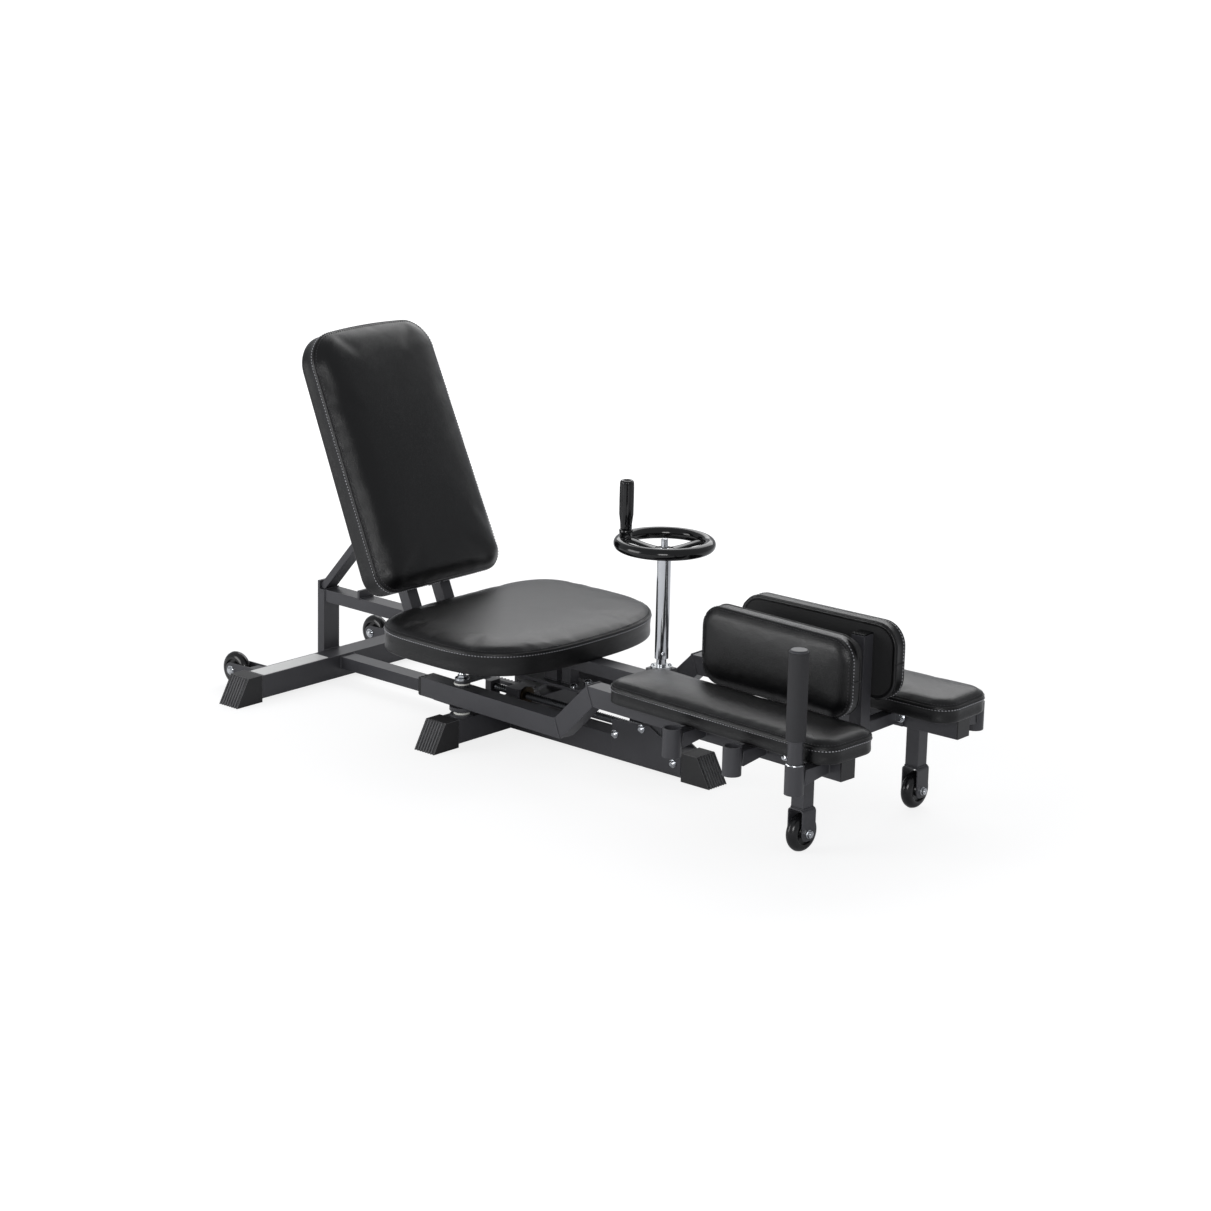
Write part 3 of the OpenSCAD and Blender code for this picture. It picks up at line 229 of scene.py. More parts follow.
def sweep(name, path, radius, sides=8, closed=False, ripple=0.0, ripple_mm=3.0):
    """A round tube along a path in mm: at each point a circle of the radius stands square to the
    path's tangent, and the radius swells by ripple times a sine of the walked length."""
    path = np.asarray(path, float)
    step = np.roll(path, -1, 0) - path if closed else np.gradient(path, axis=0)
    ahead = (path - np.roll(path, 1, 0)) + step if closed else step
    ahead /= np.linalg.norm(ahead, axis=1)[:, None]
    helper = np.where(np.abs(ahead[:, 2:3]) < 0.9, [[0.0, 0.0, 1.0]], [[1.0, 0.0, 0.0]])
    one = np.cross(ahead, helper)
    one /= np.linalg.norm(one, axis=1)[:, None]
    two = np.cross(ahead, one)
    walked = np.concatenate([[0.0], np.cumsum(np.linalg.norm(np.diff(path, axis=0), axis=1))])
    swell = np.asarray(radius) * (1.0 + ripple * np.sin(2 * np.pi * walked / ripple_mm))
    turn = np.linspace(0, 2 * np.pi, sides, endpoint=False)
    rings = path[:, None] + swell[:, None, None] * (np.cos(turn)[None, :, None] * one[:, None]
                                                    + np.sin(turn)[None, :, None] * two[:, None])
    rows = len(path)
    count = rows if closed else rows - 1
    a = np.arange(count)[:, None] * sides + np.arange(sides)[None, :]
    b = np.arange(count)[:, None] * sides + (np.arange(sides)[None, :] + 1) % sides
    faces = np.stack([a, (a + sides) % (rows * sides), (b + sides) % (rows * sides), b], -1).reshape(-1, 4).tolist()
    if not closed:
        faces += [list(range(sides)), list(range((rows - 1) * sides, rows * sides))[::-1]]
    return rings.reshape(-1, 3), faces


def walk(corners, step_mm=0.9):
    """Even points along straight runs between corners, in mm."""
    corners = np.asarray(corners, float)
    runs = []
    for start, end in zip(corners[:-1], corners[1:]):
        count = max(2, int(np.linalg.norm(end - start) / step_mm))
        runs.append(start + (end - start) * np.linspace(0, 1, count, endpoint=False)[:, None])
    return np.concatenate(runs + [corners[-1:]])


def circle(centre, radius, count=96):
    """Points of a level circle, in mm, first point repeated at the end."""
    turn = np.linspace(0, 2 * np.pi, count + 1)
    return np.asarray(centre, float) + radius * np.stack([np.cos(turn), np.sin(turn), 0 * turn], -1)


def join(name, parts, smooth_angle=60):
    """One object from several (points in mm, faces) pairs."""
    points, faces, start = [], [], 0
    for part_points, part_faces in parts:
        points.append(place(part_points))
        faces += [[i + start for i in face] for face in part_faces]
        start += len(part_points)
    return build_mesh(name, np.concatenate(points), faces, smooth_angle)


def box_loop(x, half_y, low, high):
    """A weld path round the end of a tube that runs along X."""
    return [[x, -half_y, low], [x, half_y, low], [x, half_y, high], [x, -half_y, high], [x, -half_y, low]]


def post_loop(x0, x1, half_y, z):
    """A weld path round the foot or head of an upright post."""
    return [[x0, -half_y, z], [x1, -half_y, z], [x1, half_y, z], [x0, half_y, z], [x0, -half_y, z]]


pivot_x, pivot_y = 516.0, 148.0
bead_paths = [
    walk([[-25, -23, 14], [-25, -23, 57], [-25, 23, 57], [-25, 23, 14]]),
    walk(box_loop(-25, 20, 169, 196)), walk(box_loop(25, 20, 26, 53)), walk(box_loop(491, 20, 26, 53)),
    walk([[541, -25, 9], [541, -25, 57], [541, 25, 57], [541, 25, 9]]),
    walk(post_loop(903, 953, 25, 57)), walk(post_loop(903, 953, 21, 169)),
    walk(post_loop(624.5, 657.5, 13, 133.3)), walk(post_loop(671.5, 694.5, 13, 133.3)),
    walk(post_loop(624.5, 657.5, 13, 169)), walk(post_loop(671.5, 694.5, 13, 169)),
    walk([[78, -20, 196], [78, 20, 196]]), walk([[84, -20, 196], [84, 20, 196]]),
    circle([pivot_x, -pivot_y, 57], 24), circle([pivot_x, pivot_y, 57], 24),
]
for y in (-228, -196, 196, 228):
    bead_paths.append(walk([[-25, y, 24], [-25, y, 56]]))
welds = join("frame_weld_beads", [sweep("bead", path, 2.1, ripple=0.22) for path in bead_paths])
welds.data.materials.append(powder_coat)
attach(welds, "base")


def leg_frame(side):
    """Origin and directions of a leg arm, in mm: along it, inward, and up."""
    lean, sign = math.radians(2.0), -1.0 if side == "near" else 1.0
    along = np.array([math.cos(lean), sign * math.sin(lean), 0.0])
    inward = np.array([math.sin(lean), -sign * math.cos(lean), 0.0])
    return np.array([pivot_x, sign * pivot_y, 0.0]), along, inward


def on_leg(side, points):
    """Arm coordinates (along, inward, up) to the machine's millimetres."""
    origin, along, inward = leg_frame(side)
    points = np.asarray(points, float)
    return origin + points[..., :1] * along + points[..., 1:2] * inward + points[..., 2:] * np.array([0, 0, 1.0])


for side in ("near", "far"):
    paths = [walk(post_loop(907, 937, 15, z)) for z in (167, 88)]
    for u0, z0 in ((286, 120), (373, 207)):
        paths.append(walk([[u0, 20.2, z0], [u0, -20.2, z0]]))
        paths.append(walk([[u0, -20.1, z0], [u0 + 16.6, -20.1, z0 - 40]]))
        paths.append(walk([[u0, 20.1, z0], [u0 + 16.6, 20.1, z0 - 40]]))
    for u in (680, 833, 986):
        paths.append(walk([[u - 14, -20, 179], [u - 14, -20, 199], [u + 14, -20, 199], [u + 14, -20, 179]]))
        paths.append(walk([[u + 14.2, -87, 199], [u + 14.2, -91.5, 171]]))
    beads = join(side + "_arm_weld_beads", [sweep("bead", on_leg(side, path), 1.8, ripple=0.22) for path in paths])
    beads.data.materials.append(powder_coat)
    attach(beads, side + "_leg")

# Rubber end caps pressed over the stabilizer tubes. Moulded black rubber with a matt, slightly
# dusty skin. Grooves run up the sloped face; the light grey beads on the ridges between them and the lighter groove
# edges are painted highlights.
# The cap rubber's strong light edge tone is a painted highlight on the groove edges.
cap_rubber = coat("moulded_black_rubber", "#1c1c1d", "#272728", "#808082", 0.56, 2.2, 0.12, 1.5, 1.9)
dress(cap_rubber, "end_caps")
ribs = []
for centre, way in (((0, -256.5), (0, -1)), ((0, 256.5), (0, 1)), ((pivot_x, -185), (0, -1)),
                    ((pivot_x, 185), (0, 1)), ((1011, 0), (1, 0))):
    way = np.array(way, float)
    across = np.array([-way[1], way[0]])
    run = np.linspace(0.03, 0.97, 40)
    for number in range(1, 7):
        place_across = -28 + 56 / 15 * (2 * number + 0.5)
        flat = np.array(centre) + (74 - 34 * run)[:, None] * way + place_across * across
        ribs.append(sweep("rib", np.column_stack([flat, 60 * run]), 1.5))
rib_beads = join("end_cap_ribs", ribs)
# The ridge beads' light grey is a painted highlight along the ridges.
ridge_highlight_rubber = coat("rubber_ridge_painted_highlight", "#4c4c4e", "#606062", "#7c7c7e", 0.50, 2.2, 0.06, 0.5, 0.5)
rib_beads.data.materials.append(ridge_highlight_rubber)
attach(rib_beads, "base")

# Blank white sticker on the near half of the rear stabilizer. Gloss laminated paper with rounded
# corners, left without any print.
corner = np.linspace(0, np.pi / 2, 7)
label_edge = np.concatenate([
    np.stack([sx * 18 + 4 * np.cos(corner + start), sy * 92 + 4 * np.sin(corner + start)], -1)
    for sx, sy, start in ((1, 1, 0), (-1, 1, np.pi / 2), (-1, -1, np.pi), (1, -1, 1.5 * np.pi))])
ring = len(label_edge)
label_points = np.concatenate([
    np.column_stack([label_edge[:, 0], label_edge[:, 1] - 150, np.full(ring, 57.02)]),
    np.column_stack([label_edge[:, 0], label_edge[:, 1] - 150, np.full(ring, 57.25)])])
label_faces = [[i, (i + 1) % ring, ring + (i + 1) % ring, ring + i] for i in range(ring)]
label_faces += [list(range(ring, 2 * ring)), list(range(ring))[::-1]]
label = build_mesh("blank_label", place(label_points), label_faces)
label_paper, tree, shader = new_finish("laminated_white_paper")
where = wire(tree, "ShaderNodeTexCoord")
fibre = wire(tree, "ShaderNodeTexNoise", {"Vector": where.outputs["Object"], "Scale": 160.0, "Detail": 3.0})
tone = wire(tree, "ShaderNodeMix", {"Factor": fibre.outputs["Fac"], "A": linear("#e8e8e6"), "B": linear("#f2f2f0")},
            data_type="RGBA")
ripple = wire(tree, "ShaderNodeBump", {"Height": fibre.outputs["Fac"], "Distance": 0.0001, "Strength": 0.4})
tree.links.new(tone.outputs["Result"], shader.inputs["Base Color"])
tree.links.new(ripple.outputs[0], shader.inputs["Normal"])
shader.inputs["Roughness"].default_value = 0.25
label.data.materials.append(label_paper)
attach(label, "base")

# Bright parts: plated bolts, nuts, hinge pins, the chrome stem and its bearing. Turned and plated
# steel mirrors the white room, with the faint lines that turning leaves.


def metal(name, tint, shade, rough, line_mm):
    """Plated metal: full metallic with a slight tone change and fine lines across Z, in mm."""
    finish, tree, shader = new_finish(name)
    where = wire(tree, "ShaderNodeTexCoord")
    stretch = wire(tree, "ShaderNodeMapping", {"Vector": where.outputs["Object"], "Scale": (1.0, 1.0, 12.0)})
    lines = wire(tree, "ShaderNodeTexNoise", {"Vector": stretch.outputs[0], "Scale": 100.0 / line_mm, "Detail": 4.0})
    haze = wire(tree, "ShaderNodeTexNoise", {"Vector": where.outputs["Object"], "Scale": 18.0, "Detail": 3.0})
    tone = wire(tree, "ShaderNodeMix", {"Factor": haze.outputs["Fac"], "A": linear(shade), "B": linear(tint)},
                data_type="RGBA")
    gloss = wire(tree, "ShaderNodeMapRange", {"Value": lines.outputs["Fac"], "To Min": rough * 0.7,
                                              "To Max": rough * 1.5})
    soft = wire(tree, "ShaderNodeBevel", {"Radius": 0.0006}, samples=4)
    bump = wire(tree, "ShaderNodeBump", {"Height": lines.outputs["Fac"], "Distance": 0.00003, "Strength": 0.35,
                                         "Normal": soft.outputs[0]})
    tree.links.new(tone.outputs["Result"], shader.inputs["Base Color"])
    tree.links.new(gloss.outputs[0], shader.inputs["Roughness"])
    tree.links.new(bump.outputs[0], shader.inputs["Normal"])
    shader.inputs["Metallic"].default_value = 1.0
    return finish


bright_chrome = metal("bright_chrome_plate", "#dadcdf", "#c4c7cb", 0.11, 0.8)
zinc_plate = metal("clear_zinc_plate", "#c6c8c9", "#a9acae", 0.26, 1.2)
# The brass, and the steel of the screw and its gear, are drawn much darker than bare brass and steel.
turned_brass = metal("dark_turned_brass", "#3a3227", "#2a2318", 0.42, 1.0)
dark_steel = metal("dark_turned_steel", "#626466", "#4a4b4e", 0.36, 1.2)
dress(bright_chrome, "frame_bolts")
dress(dark_steel, "screw_bevel_gear")
dress(zinc_plate, "handle_spindle", "column_bearing")
dress(turned_brass, "drive_nut", "screw_front_bush", "rack_guides")

# White nylon thrust washers under and over the leg arms, cut from sheet. The cut edge is waxy and
# a little yellower than paper white.
nylon_sheet = coat("white_nylon_sheet", "#dcdcd6", "#ebebe6", "#f4f4f0", 0.42, 2.5, 0.05, 0.8, 0.3)
dress(nylon_sheet, "pivot_washers")

# Boards behind the pads: plywood with black non-woven backing cloth stapled over its back, as the
# upright pads show it.
backing_cloth = coat("black_backing_cloth", "#121213", "#1a1a1b", "#2a2a2b", 0.72, 1.4, 0.25, 1.5, 0.3)
dress(backing_cloth, "seat_board", "backrest_board", "near_leg_board", "far_leg_board", "near_inner_board",
      "far_inner_board")

# Upholstered pads. Each is foam on a board under black leather-look vinyl with a soft sheen: a top
# panel and a side band, both sewn with black thread, meet at a welt, pulled under and stapled. The band's thread is
# drawn grey as a painted glint.
vinyl, tree, shader = new_finish("black_grained_vinyl")
where = wire(tree, "ShaderNodeTexCoord")
# The real grain has cells of about 1.2 mm; they are drawn 2.6 mm wide so that they show
cells = wire(tree, "ShaderNodeTexVoronoi", {"Vector": where.outputs["Object"], "Scale": 1000.0 / 2.6},
             feature="DISTANCE_TO_EDGE")
pebble = wire(tree, "ShaderNodeMapRange", {"Value": cells.outputs["Distance"], "From Min": 0.0, "From Max": 0.22})
crease = wire(tree, "ShaderNodeTexNoise", {"Vector": where.outputs["Object"], "Scale": 26.0, "Detail": 5.0,
                                           "Roughness": 0.55})
sheen = wire(tree, "ShaderNodeTexNoise", {"Vector": where.outputs["Object"], "Scale": 7.0, "Detail": 4.0})
skin = wire(tree, "ShaderNodeMix", {"Factor": sheen.outputs["Fac"], "A": linear("#050506"), "B": linear("#0b0b0c")},
            data_type="RGBA")
gloss = wire(tree, "ShaderNodeMapRange", {"Value": sheen.outputs["Fac"], "To Min": 0.25, "To Max": 0.34})
fold = wire(tree, "ShaderNodeBump", {"Height": crease.outputs["Fac"], "Distance": 0.0011, "Strength": 0.45})
grained = wire(tree, "ShaderNodeBump", {"Height": pebble.outputs[0], "Distance": 0.00022, "Strength": 0.5,
                                        "Normal": fold.outputs[0]})
tree.links.new(skin.outputs["Result"], shader.inputs["Base Color"])
tree.links.new(gloss.outputs[0], shader.inputs["Roughness"])
tree.links.new(grained.outputs[0], shader.inputs["Normal"])
shader.inputs["IOR"].default_value = 1.45

# Bonded nylon thread stands proud of the vinyl. The band's black thread is coloured light grey as a painted glint, so
# that it shows as a dotted line.
painted_glint_thread = coat("black_thread_painted_grey_glint", "#9c9ca0", "#b0b0b4", "#c4c4c8", 0.40, 1.5, 0.05, 0.3, 0.2)
dark_thread = coat("bonded_black_thread", "#262628", "#343436", "#4a4a4c", 0.40, 1.5, 0.05, 0.3, 0.2)


def quarter(half_x, half_y, corner):
    """First quarter of a pad's outline: a corner of so many mm, or under 10 the power p of the curve
    (x/a)^p + (y/b)^p = 1. Returned in two parts, split where the corner points out most."""
    if corner >= 10:
        turn = np.linspace(0, np.pi / 2, 200)
        arc = np.stack([half_x - corner + corner * np.cos(turn), half_y - corner + corner * np.sin(turn)], -1)
        lower = np.stack([np.full(200, half_x), np.linspace(0, half_y - corner, 200)], -1)
        upper = np.stack([np.linspace(half_x - corner, 0, 200), np.full(200, half_y)], -1)
        part = np.concatenate([lower[:-1], arc, upper[1:]])
    else:
        turn = np.linspace(0, np.pi / 2, 900)
        part = np.stack([half_x * np.cos(turn) ** (2 / corner), half_y * np.sin(turn) ** (2 / corner)], -1)
    middle = int(np.argmax(part[:, 0] / half_x + part[:, 1] / half_y))
    return part[:middle + 1], part[middle:]


def even(path, count):
    """Count even steps along a path, without its last point."""
    walked = np.concatenate([[0.0], np.cumsum(np.linalg.norm(np.diff(path, axis=0), axis=1))])
    stops = np.linspace(0, walked[-1], count, endpoint=False)
    return np.stack([np.interp(stops, walked, path[:, k]) for k in range(2)], -1)


def outline(half_x, half_y, corners, spacing):
    """The pad's edge in even steps, from its rear near corner, with the step count of each side."""
    (rise_f, fall_f), (rise_r, fall_r) = [quarter(half_x, half_y, corner) for corner in corners]
    end = np.concatenate([(rise_f * (1, -1))[::-1], rise_f[1:]])
    start = np.concatenate([(rise_r * (-1, 1))[::-1], (rise_r * (-1, -1))[1:]])
    top = np.concatenate([fall_f, (fall_r * (-1, 1))[::-1][1:]])
    low = (top * (1, -1))[::-1]
    lengths = [np.linalg.norm(np.diff(side, axis=0), axis=1).sum() for side in (top, end)]
    nu, nv = int(round(lengths[0] / spacing)), int(round(lengths[1] / spacing))
    return np.concatenate([even(low, nu), even(end, nv), even(top, nu), even(start, nv)]), nu, nv


def shrink(edge, amount):
    """The edge moved inward by an amount, square to its tangent."""
    ahead = np.roll(edge, -1, 0) - np.roll(edge, 1, 0)
    ahead /= np.linalg.norm(ahead, axis=1)[:, None]
    return edge + amount * np.stack([-ahead[:, 1], ahead[:, 0]], -1)


def filled(edge, nu, nv):
    """Coons patch: the sum of both ruled surfaces between facing sides, less the corners' bilinear part."""
    low, end = edge[:nu + 1], edge[nu:nu + nv + 1]
    top = edge[nu + nv:2 * nu + nv + 1][::-1]
    start = np.concatenate([edge[2 * nu + nv:], edge[:1]])[::-1]
    u, v = np.linspace(0, 1, nu + 1)[:, None, None], np.linspace(0, 1, nv + 1)[None, :, None]
    ruled = (1 - v) * low[:, None] + v * top[:, None] + (1 - u) * start[None] + u * end[None]
    return ruled - ((1 - u) * (1 - v) * low[0] + u * (1 - v) * low[-1] + (1 - u) * v * top[0] + u * v * top[-1])


def pad_form(half, corners, height, crown, roll, spacing, wrap):
    """Grid of the top panel, rings down the side band and under the board, closed inside the board.
    At a distance d from the edge the top stands at height + crown * (1 - (1 - d / 70)^2), less
    drop * (1 - d / reach)^2 within the roll's reach. The cover turns in under the board by the wrap."""
    drop, reach = roll

    def top(inset):
        return (height + crown * (1 - (1 - np.clip(inset, 0, 70) / 70) ** 2)
                - drop * (1 - np.clip(inset, 0, reach) / reach) ** 2)

    edge, nu, nv = outline(half[0], half[1], corners, spacing)
    count = len(edge)
    inner = shrink(edge, 13.0)
    grid = filled(inner, nu, nv)
    flat = grid.reshape(-1, 2)
    depth_in = np.min(np.linalg.norm(flat[:, None] - edge[None], axis=2), axis=1)
    points = [np.column_stack([flat, top(depth_in)])]
    index = np.arange(flat.shape[0]).reshape(nu + 1, nv + 1)
    quads = np.stack([index[:-1, :-1], index[1:, :-1], index[1:, 1:], index[:-1, 1:]], -1).reshape(-1, 4).tolist()
    ring = np.concatenate([index[:-1, 0], index[-1, :-1], index[1:, -1][::-1], index[0, 1:][::-1]])
    rows = [(8.0, top(8.0)), (4.0, top(4.0)), (1.8, top(1.8) - 0.2), (0.7, top(0.7) - 1.2), (0.0, top(0.0) - 2.4),
            (-0.4, top(0.0) - 5.6), (0.4, height * 0.55), (1.1, height * 0.44), (1.1, height * 0.33),
            (0.5, height * 0.2), (0.3, 4.0), (0.9, 1.2), (2.4, -0.6), (0.5 * wrap, -0.9), (wrap, -0.9),
            (wrap + 1.5, 0.1), (wrap + 1.6, 6.0)]
    rings = [ring]
    for inset, z in rows:
        start = sum(len(p) for p in points)
        points.append(np.column_stack([shrink(edge, inset), np.full(count, z)]))
        rings.append(np.arange(start, start + count))
    for upper, lower in zip(rings[:-1], rings[1:]):
        quads += np.stack([upper, lower, np.roll(lower, -1), np.roll(upper, -1)], -1).tolist()
    quads.append(rings[-1][::-1].tolist())
    return np.concatenate(points), quads, rings, (nu + nv // 2, 2 * nu + nv + nv // 2)


def inflate(piece, held, start, cap_mm):
    """Cloth with inner pressure and no gravity for 18 frames. Held points stay, and the rest keep 0.4
    of their way, up to the cap, because the foam under a stretched cover lets it fold only faintly."""
    group = piece.vertex_groups.new(name="held")
    group.add([int(i) for i in held], 1.0, "REPLACE")
    cloth = piece.modifiers.new("cloth", "CLOTH")
    cloth.settings.quality = 4
    cloth.settings.mass = 0.12
    cloth.settings.tension_stiffness = 22.0
    cloth.settings.compression_stiffness = 22.0
    cloth.settings.shear_stiffness = 9.0
    cloth.settings.bending_stiffness = 5.0
    cloth.settings.tension_damping = 12.0
    cloth.settings.use_pressure = True
    cloth.settings.uniform_pressure_force = 2.4
    cloth.settings.shrink_min = -0.002
    cloth.settings.vertex_group_mass = "held"
    cloth.settings.effector_weights.gravity = 0.0
    cloth.collision_settings.use_collision = False
    cloth.point_cache.frame_start, cloth.point_cache.frame_end = 1, 18
    for number in range(1, 19):
        bpy.context.scene.frame_set(number)
    solved = piece.evaluated_get(bpy.context.evaluated_depsgraph_get())
    now = np.empty(len(piece.data.vertices) * 3)
    solved.data.vertices.foreach_get("co", now)
    piece.modifiers.remove(cloth)
    bpy.context.scene.frame_set(1)
    moved = 0.4 * (now.reshape(-1, 3) - start)
    far = np.linalg.norm(moved, axis=1)
    return start + moved * np.minimum(1.0, cap_mm / 1000.0 / np.maximum(far, 1e-9))[:, None]


stitch_mm, gap_mm, thread_mm = 3.4, 3.2, 0.95


def stitches(path, outward, stitch_mm, gap_mm, radius_mm):
    """Short bars along a closed path in metres: each has 6 sides and 4 rings, thinner at both ends."""
    loop = np.concatenate([path, path[:1]])
    lift = np.concatenate([outward, outward[:1]])
    walked = np.concatenate([[0.0], np.cumsum(np.linalg.norm(np.diff(loop, axis=0), axis=1))])
    count = int(walked[-1] * 1000 / (stitch_mm + gap_mm))
    pitch = walked[-1] / count
    long = pitch * stitch_mm / (stitch_mm + gap_mm)
    stops = np.arange(count)[:, None] * pitch + np.array([0.0, 0.18, 0.82, 1.0])[None] * long
    spine = np.stack([np.interp(stops % walked[-1], walked, loop[:, k]) for k in range(3)], -1)
    up = np.stack([np.interp(stops % walked[-1], walked, lift[:, k]) for k in range(3)], -1)
    up /= np.linalg.norm(up, axis=2)[..., None]
    ahead = spine[:, -1:] - spine[:, :1]
    ahead = ahead / np.linalg.norm(ahead, axis=2)[..., None]
    across = np.cross(up, np.broadcast_to(ahead, up.shape))
    turn = np.linspace(0, 2 * np.pi, 6, endpoint=False)
    thick = np.array([0.45, 1.0, 1.0, 0.45])[None, :, None, None] * radius_mm / 1000.0
    sink = np.array([-0.6, 0.35, 0.35, -0.6])[None, :, None] * radius_mm / 1000.0
    points = (spine + up * sink)[:, :, None] + thick * (np.cos(turn)[None, None, :, None] * up[:, :, None]
                                                        + np.sin(turn)[None, None, :, None] * across[:, :, None])
    base = (np.arange(count) * 24)[:, None, None]
    row = np.arange(3)[None, :, None] * 6
    a, b = np.arange(6)[None, None, :], (np.arange(6)[None, None, :] + 1) % 6
    faces = np.stack([base + row + a, base + row + b, base + row + 6 + b, base + row + 6 + a], -1)
    ends = [[int(c) + i for i in order] for c in base.ravel() for order in (range(5, -1, -1), range(18, 24))]
    return points.reshape(-1, 3), faces.reshape(-1, 4).tolist() + ends


def lumbar(local, half):
    """Backrest form: with s going from 0 at the top to 1 at the bottom, the width grows by 5 % of s
    and the foam's thickness by 24 % of s, and the top end is arched by 5 - 10 (y / b)^2 mm."""
    s = 0.5 - 0.5 * local[:, 0] / half[0]
    over = np.clip(local[:, 0] / half[0], 0, 1) ** 3
    return np.column_stack([local[:, 0] + over * (5 - 10 * (local[:, 1] / half[1]) ** 2),
                            local[:, 1] * (1 + 0.05 * s),
                            np.where(local[:, 2] > 5, local[:, 2] * (1 + 0.24 * s), local[:, 2])])


def upholster(name, body, node, half, corners, height, crown, roll, cap_mm, spacing, origin, along, across, out,
              welts, join_at, wrap, form=None):
    """Builds one pad in its own place: form, cloth, then welts, the band's join and the stitches on
    the simulated seams. Half is half the length and width, roll the drop and reach of the rolled edge,
    welts are ring numbers, and join_at is 0 or 1 for the end where the band joins."""
    local, faces, rings, ends = pad_form(half, corners, height, crown * 0.95, roll, spacing, wrap)
    if form:
        local = form(local, half)
    start = local / 1000.0
    piece = build_mesh(name, start, faces, 180)
    held = np.concatenate([rings[4], rings[5]] + rings[10:])
    start = inflate(piece, held, start, cap_mm)
    turn = np.stack([along, across, out], 0)
    spot = place(origin)
    world = spot + start @ turn
    piece.data.vertices.foreach_set("co", world.ravel())
    piece.vertex_groups.clear()
    piece.data.update()
    smooth = piece.modifiers.new("smooth", "SUBSURF")
    smooth.levels = smooth.render_levels = 1
    piece.data.materials.append(vinyl)
    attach(piece, body)
    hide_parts(node)

    centre = world[rings[4]].mean(0)
    side = world[rings[4]] - centre
    side -= np.outer(side @ out, out)
    side /= np.linalg.norm(side, axis=1)[:, None]
    seam = world[rings[4]] - 0.0004 * side
    cords = [sweep(name, seam * 1000.0, 1.5, sides=8, closed=True)]
    for number in welts:
        cords.append(sweep(name, (world[rings[number]] - 0.0002 * side) * 1000.0, 1.5, sides=8, closed=True))
    band = np.array([world[rings[row][ends[join_at]]] for row in range(4, 13)]) * 1000.0
    cords.append(sweep(name, walk(band, 1.5), 1.5, sides=8))
    shift = np.cumsum([0] + [len(cord[0]) for cord in cords])
    welt = build_mesh(name + "_welt", np.concatenate([cord[0] for cord in cords]) / 1000.0,
                      [[i + int(start) for i in face] for cord, start in zip(cords, shift) for face in cord[1]], 60)
    welt.data.materials.append(vinyl)
    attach(welt, body)
    upper = stitches(world[rings[2]], side * 0.25 + out, stitch_mm, gap_mm, thread_mm)
    lower = stitches(world[rings[6]], side, stitch_mm, gap_mm, thread_mm)
    shift = len(upper[0])
    sewn = build_mesh(name + "_stitches", np.concatenate([upper[0], lower[0]]),
                      upper[1] + [[i + shift for i in face] for face in lower[1]], 60)
    # The top panel's row is black thread; the band's row is black thread drawn light grey as a painted glint.
    sewn.data.materials.append(dark_thread)
    sewn.data.materials.append(painted_glint_thread)
    rows = np.repeat([0, 1], [len(upper[1]), len(lower[1])]).astype(np.int32)
    sewn.data.polygons.foreach_set("material_index", rows)
    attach(sewn, body)


X, Y, Z = np.eye(3)
upholster("seat_pad", "base", "seat_cushion", (206, 278), (2.9, 4), 54, 12, (7.5, 20), 7, 8.0, [549, 0, 196], X, Y,
          Z, (), 1, 29)
lean = math.radians(24.0)
up_back = np.array([-math.sin(lean), 0.0, math.cos(lean)])
out_back = np.array([math.cos(lean), 0.0, math.sin(lean)])
back_middle = np.array([291, 0, 182.5]) + 361 * up_back + 13.5 * out_back
upholster("backrest_pad", "backrest", "backrest_cushion", (283, 175), (66, 46), 54, 14, (14, 32), 7, 8.0, back_middle,
          up_back, -Y, out_back, (), 1, 29, lumbar)
for side in ("near", "far"):
    origin, along, inward = leg_frame(side)
    across = inward if side == "near" else -inward
    upholster(side + "_leg_pad", side + "_leg", side + "_leg_cushion", (285.5, 80), (44, 44), 42, 8, (10, 22), 4, 7.0,
              origin + 755.5 * along + 210 * Z, along, across, Z, (), 1, 29)
    spine = along if side == "near" else -along
    half, ahead_mm, middle_mm = ((188.5, 79.25), 758.5, 318.25) if side == "near" else ((186, 77), 765, 324.5)
    upholster(side + "_inner_pad", side + "_leg", side + "_inner_cushion", half, (46, 46), 39, 6, (9, 24), 4, 7.0,
              origin + ahead_mm * along + 130 * inward + middle_mm * Z, spine, Z, -inward, (11,),
              0 if side == "near" else 1, 7.6)

# Wheels: the two casters under the arms and the two transport wheels behind the rear stabilizer.
# Injection moulded black polyurethane with a round tread, a sunken web and a hub boss.


def lathe(profile, centre, axis, steps=96):
    """Revolves a closed profile of (radius, place along the axis), in mm, about an axis."""
    profile = np.asarray(profile, float)
    axis = np.asarray(axis, float) / np.linalg.norm(axis)
    helper = np.array([0.0, 0.0, 1.0]) if abs(axis[2]) < 0.9 else np.array([1.0, 0.0, 0.0])
    one = np.cross(axis, helper)
    one /= np.linalg.norm(one)
    two = np.cross(axis, one)
    turn = np.linspace(0, 2 * np.pi, steps, endpoint=False)
    spoke = np.cos(turn)[:, None] * one + np.sin(turn)[:, None] * two
    points = (np.asarray(centre, float) + profile[None, :, 1:2] * axis + profile[None, :, :1] * spoke[:, None])
    rows = len(profile)
    a = np.arange(steps)[:, None] * rows + np.arange(rows)[None]
    b = np.arange(steps)[:, None] * rows + (np.arange(rows)[None] + 1) % rows
    faces = np.stack([a, b, (b + rows) % (steps * rows), (a + rows) % (steps * rows)], -1)
    return points.reshape(-1, 3), faces.reshape(-1, 4).tolist()


def outward_faces(piece):
    """Turns the faces of a closed shell to point out."""
    shell = bmesh.new()
    shell.from_mesh(piece.data)
    bmesh.ops.recalc_face_normals(shell, faces=shell.faces[:])
    shell.to_mesh(piece.data)
    shell.free()


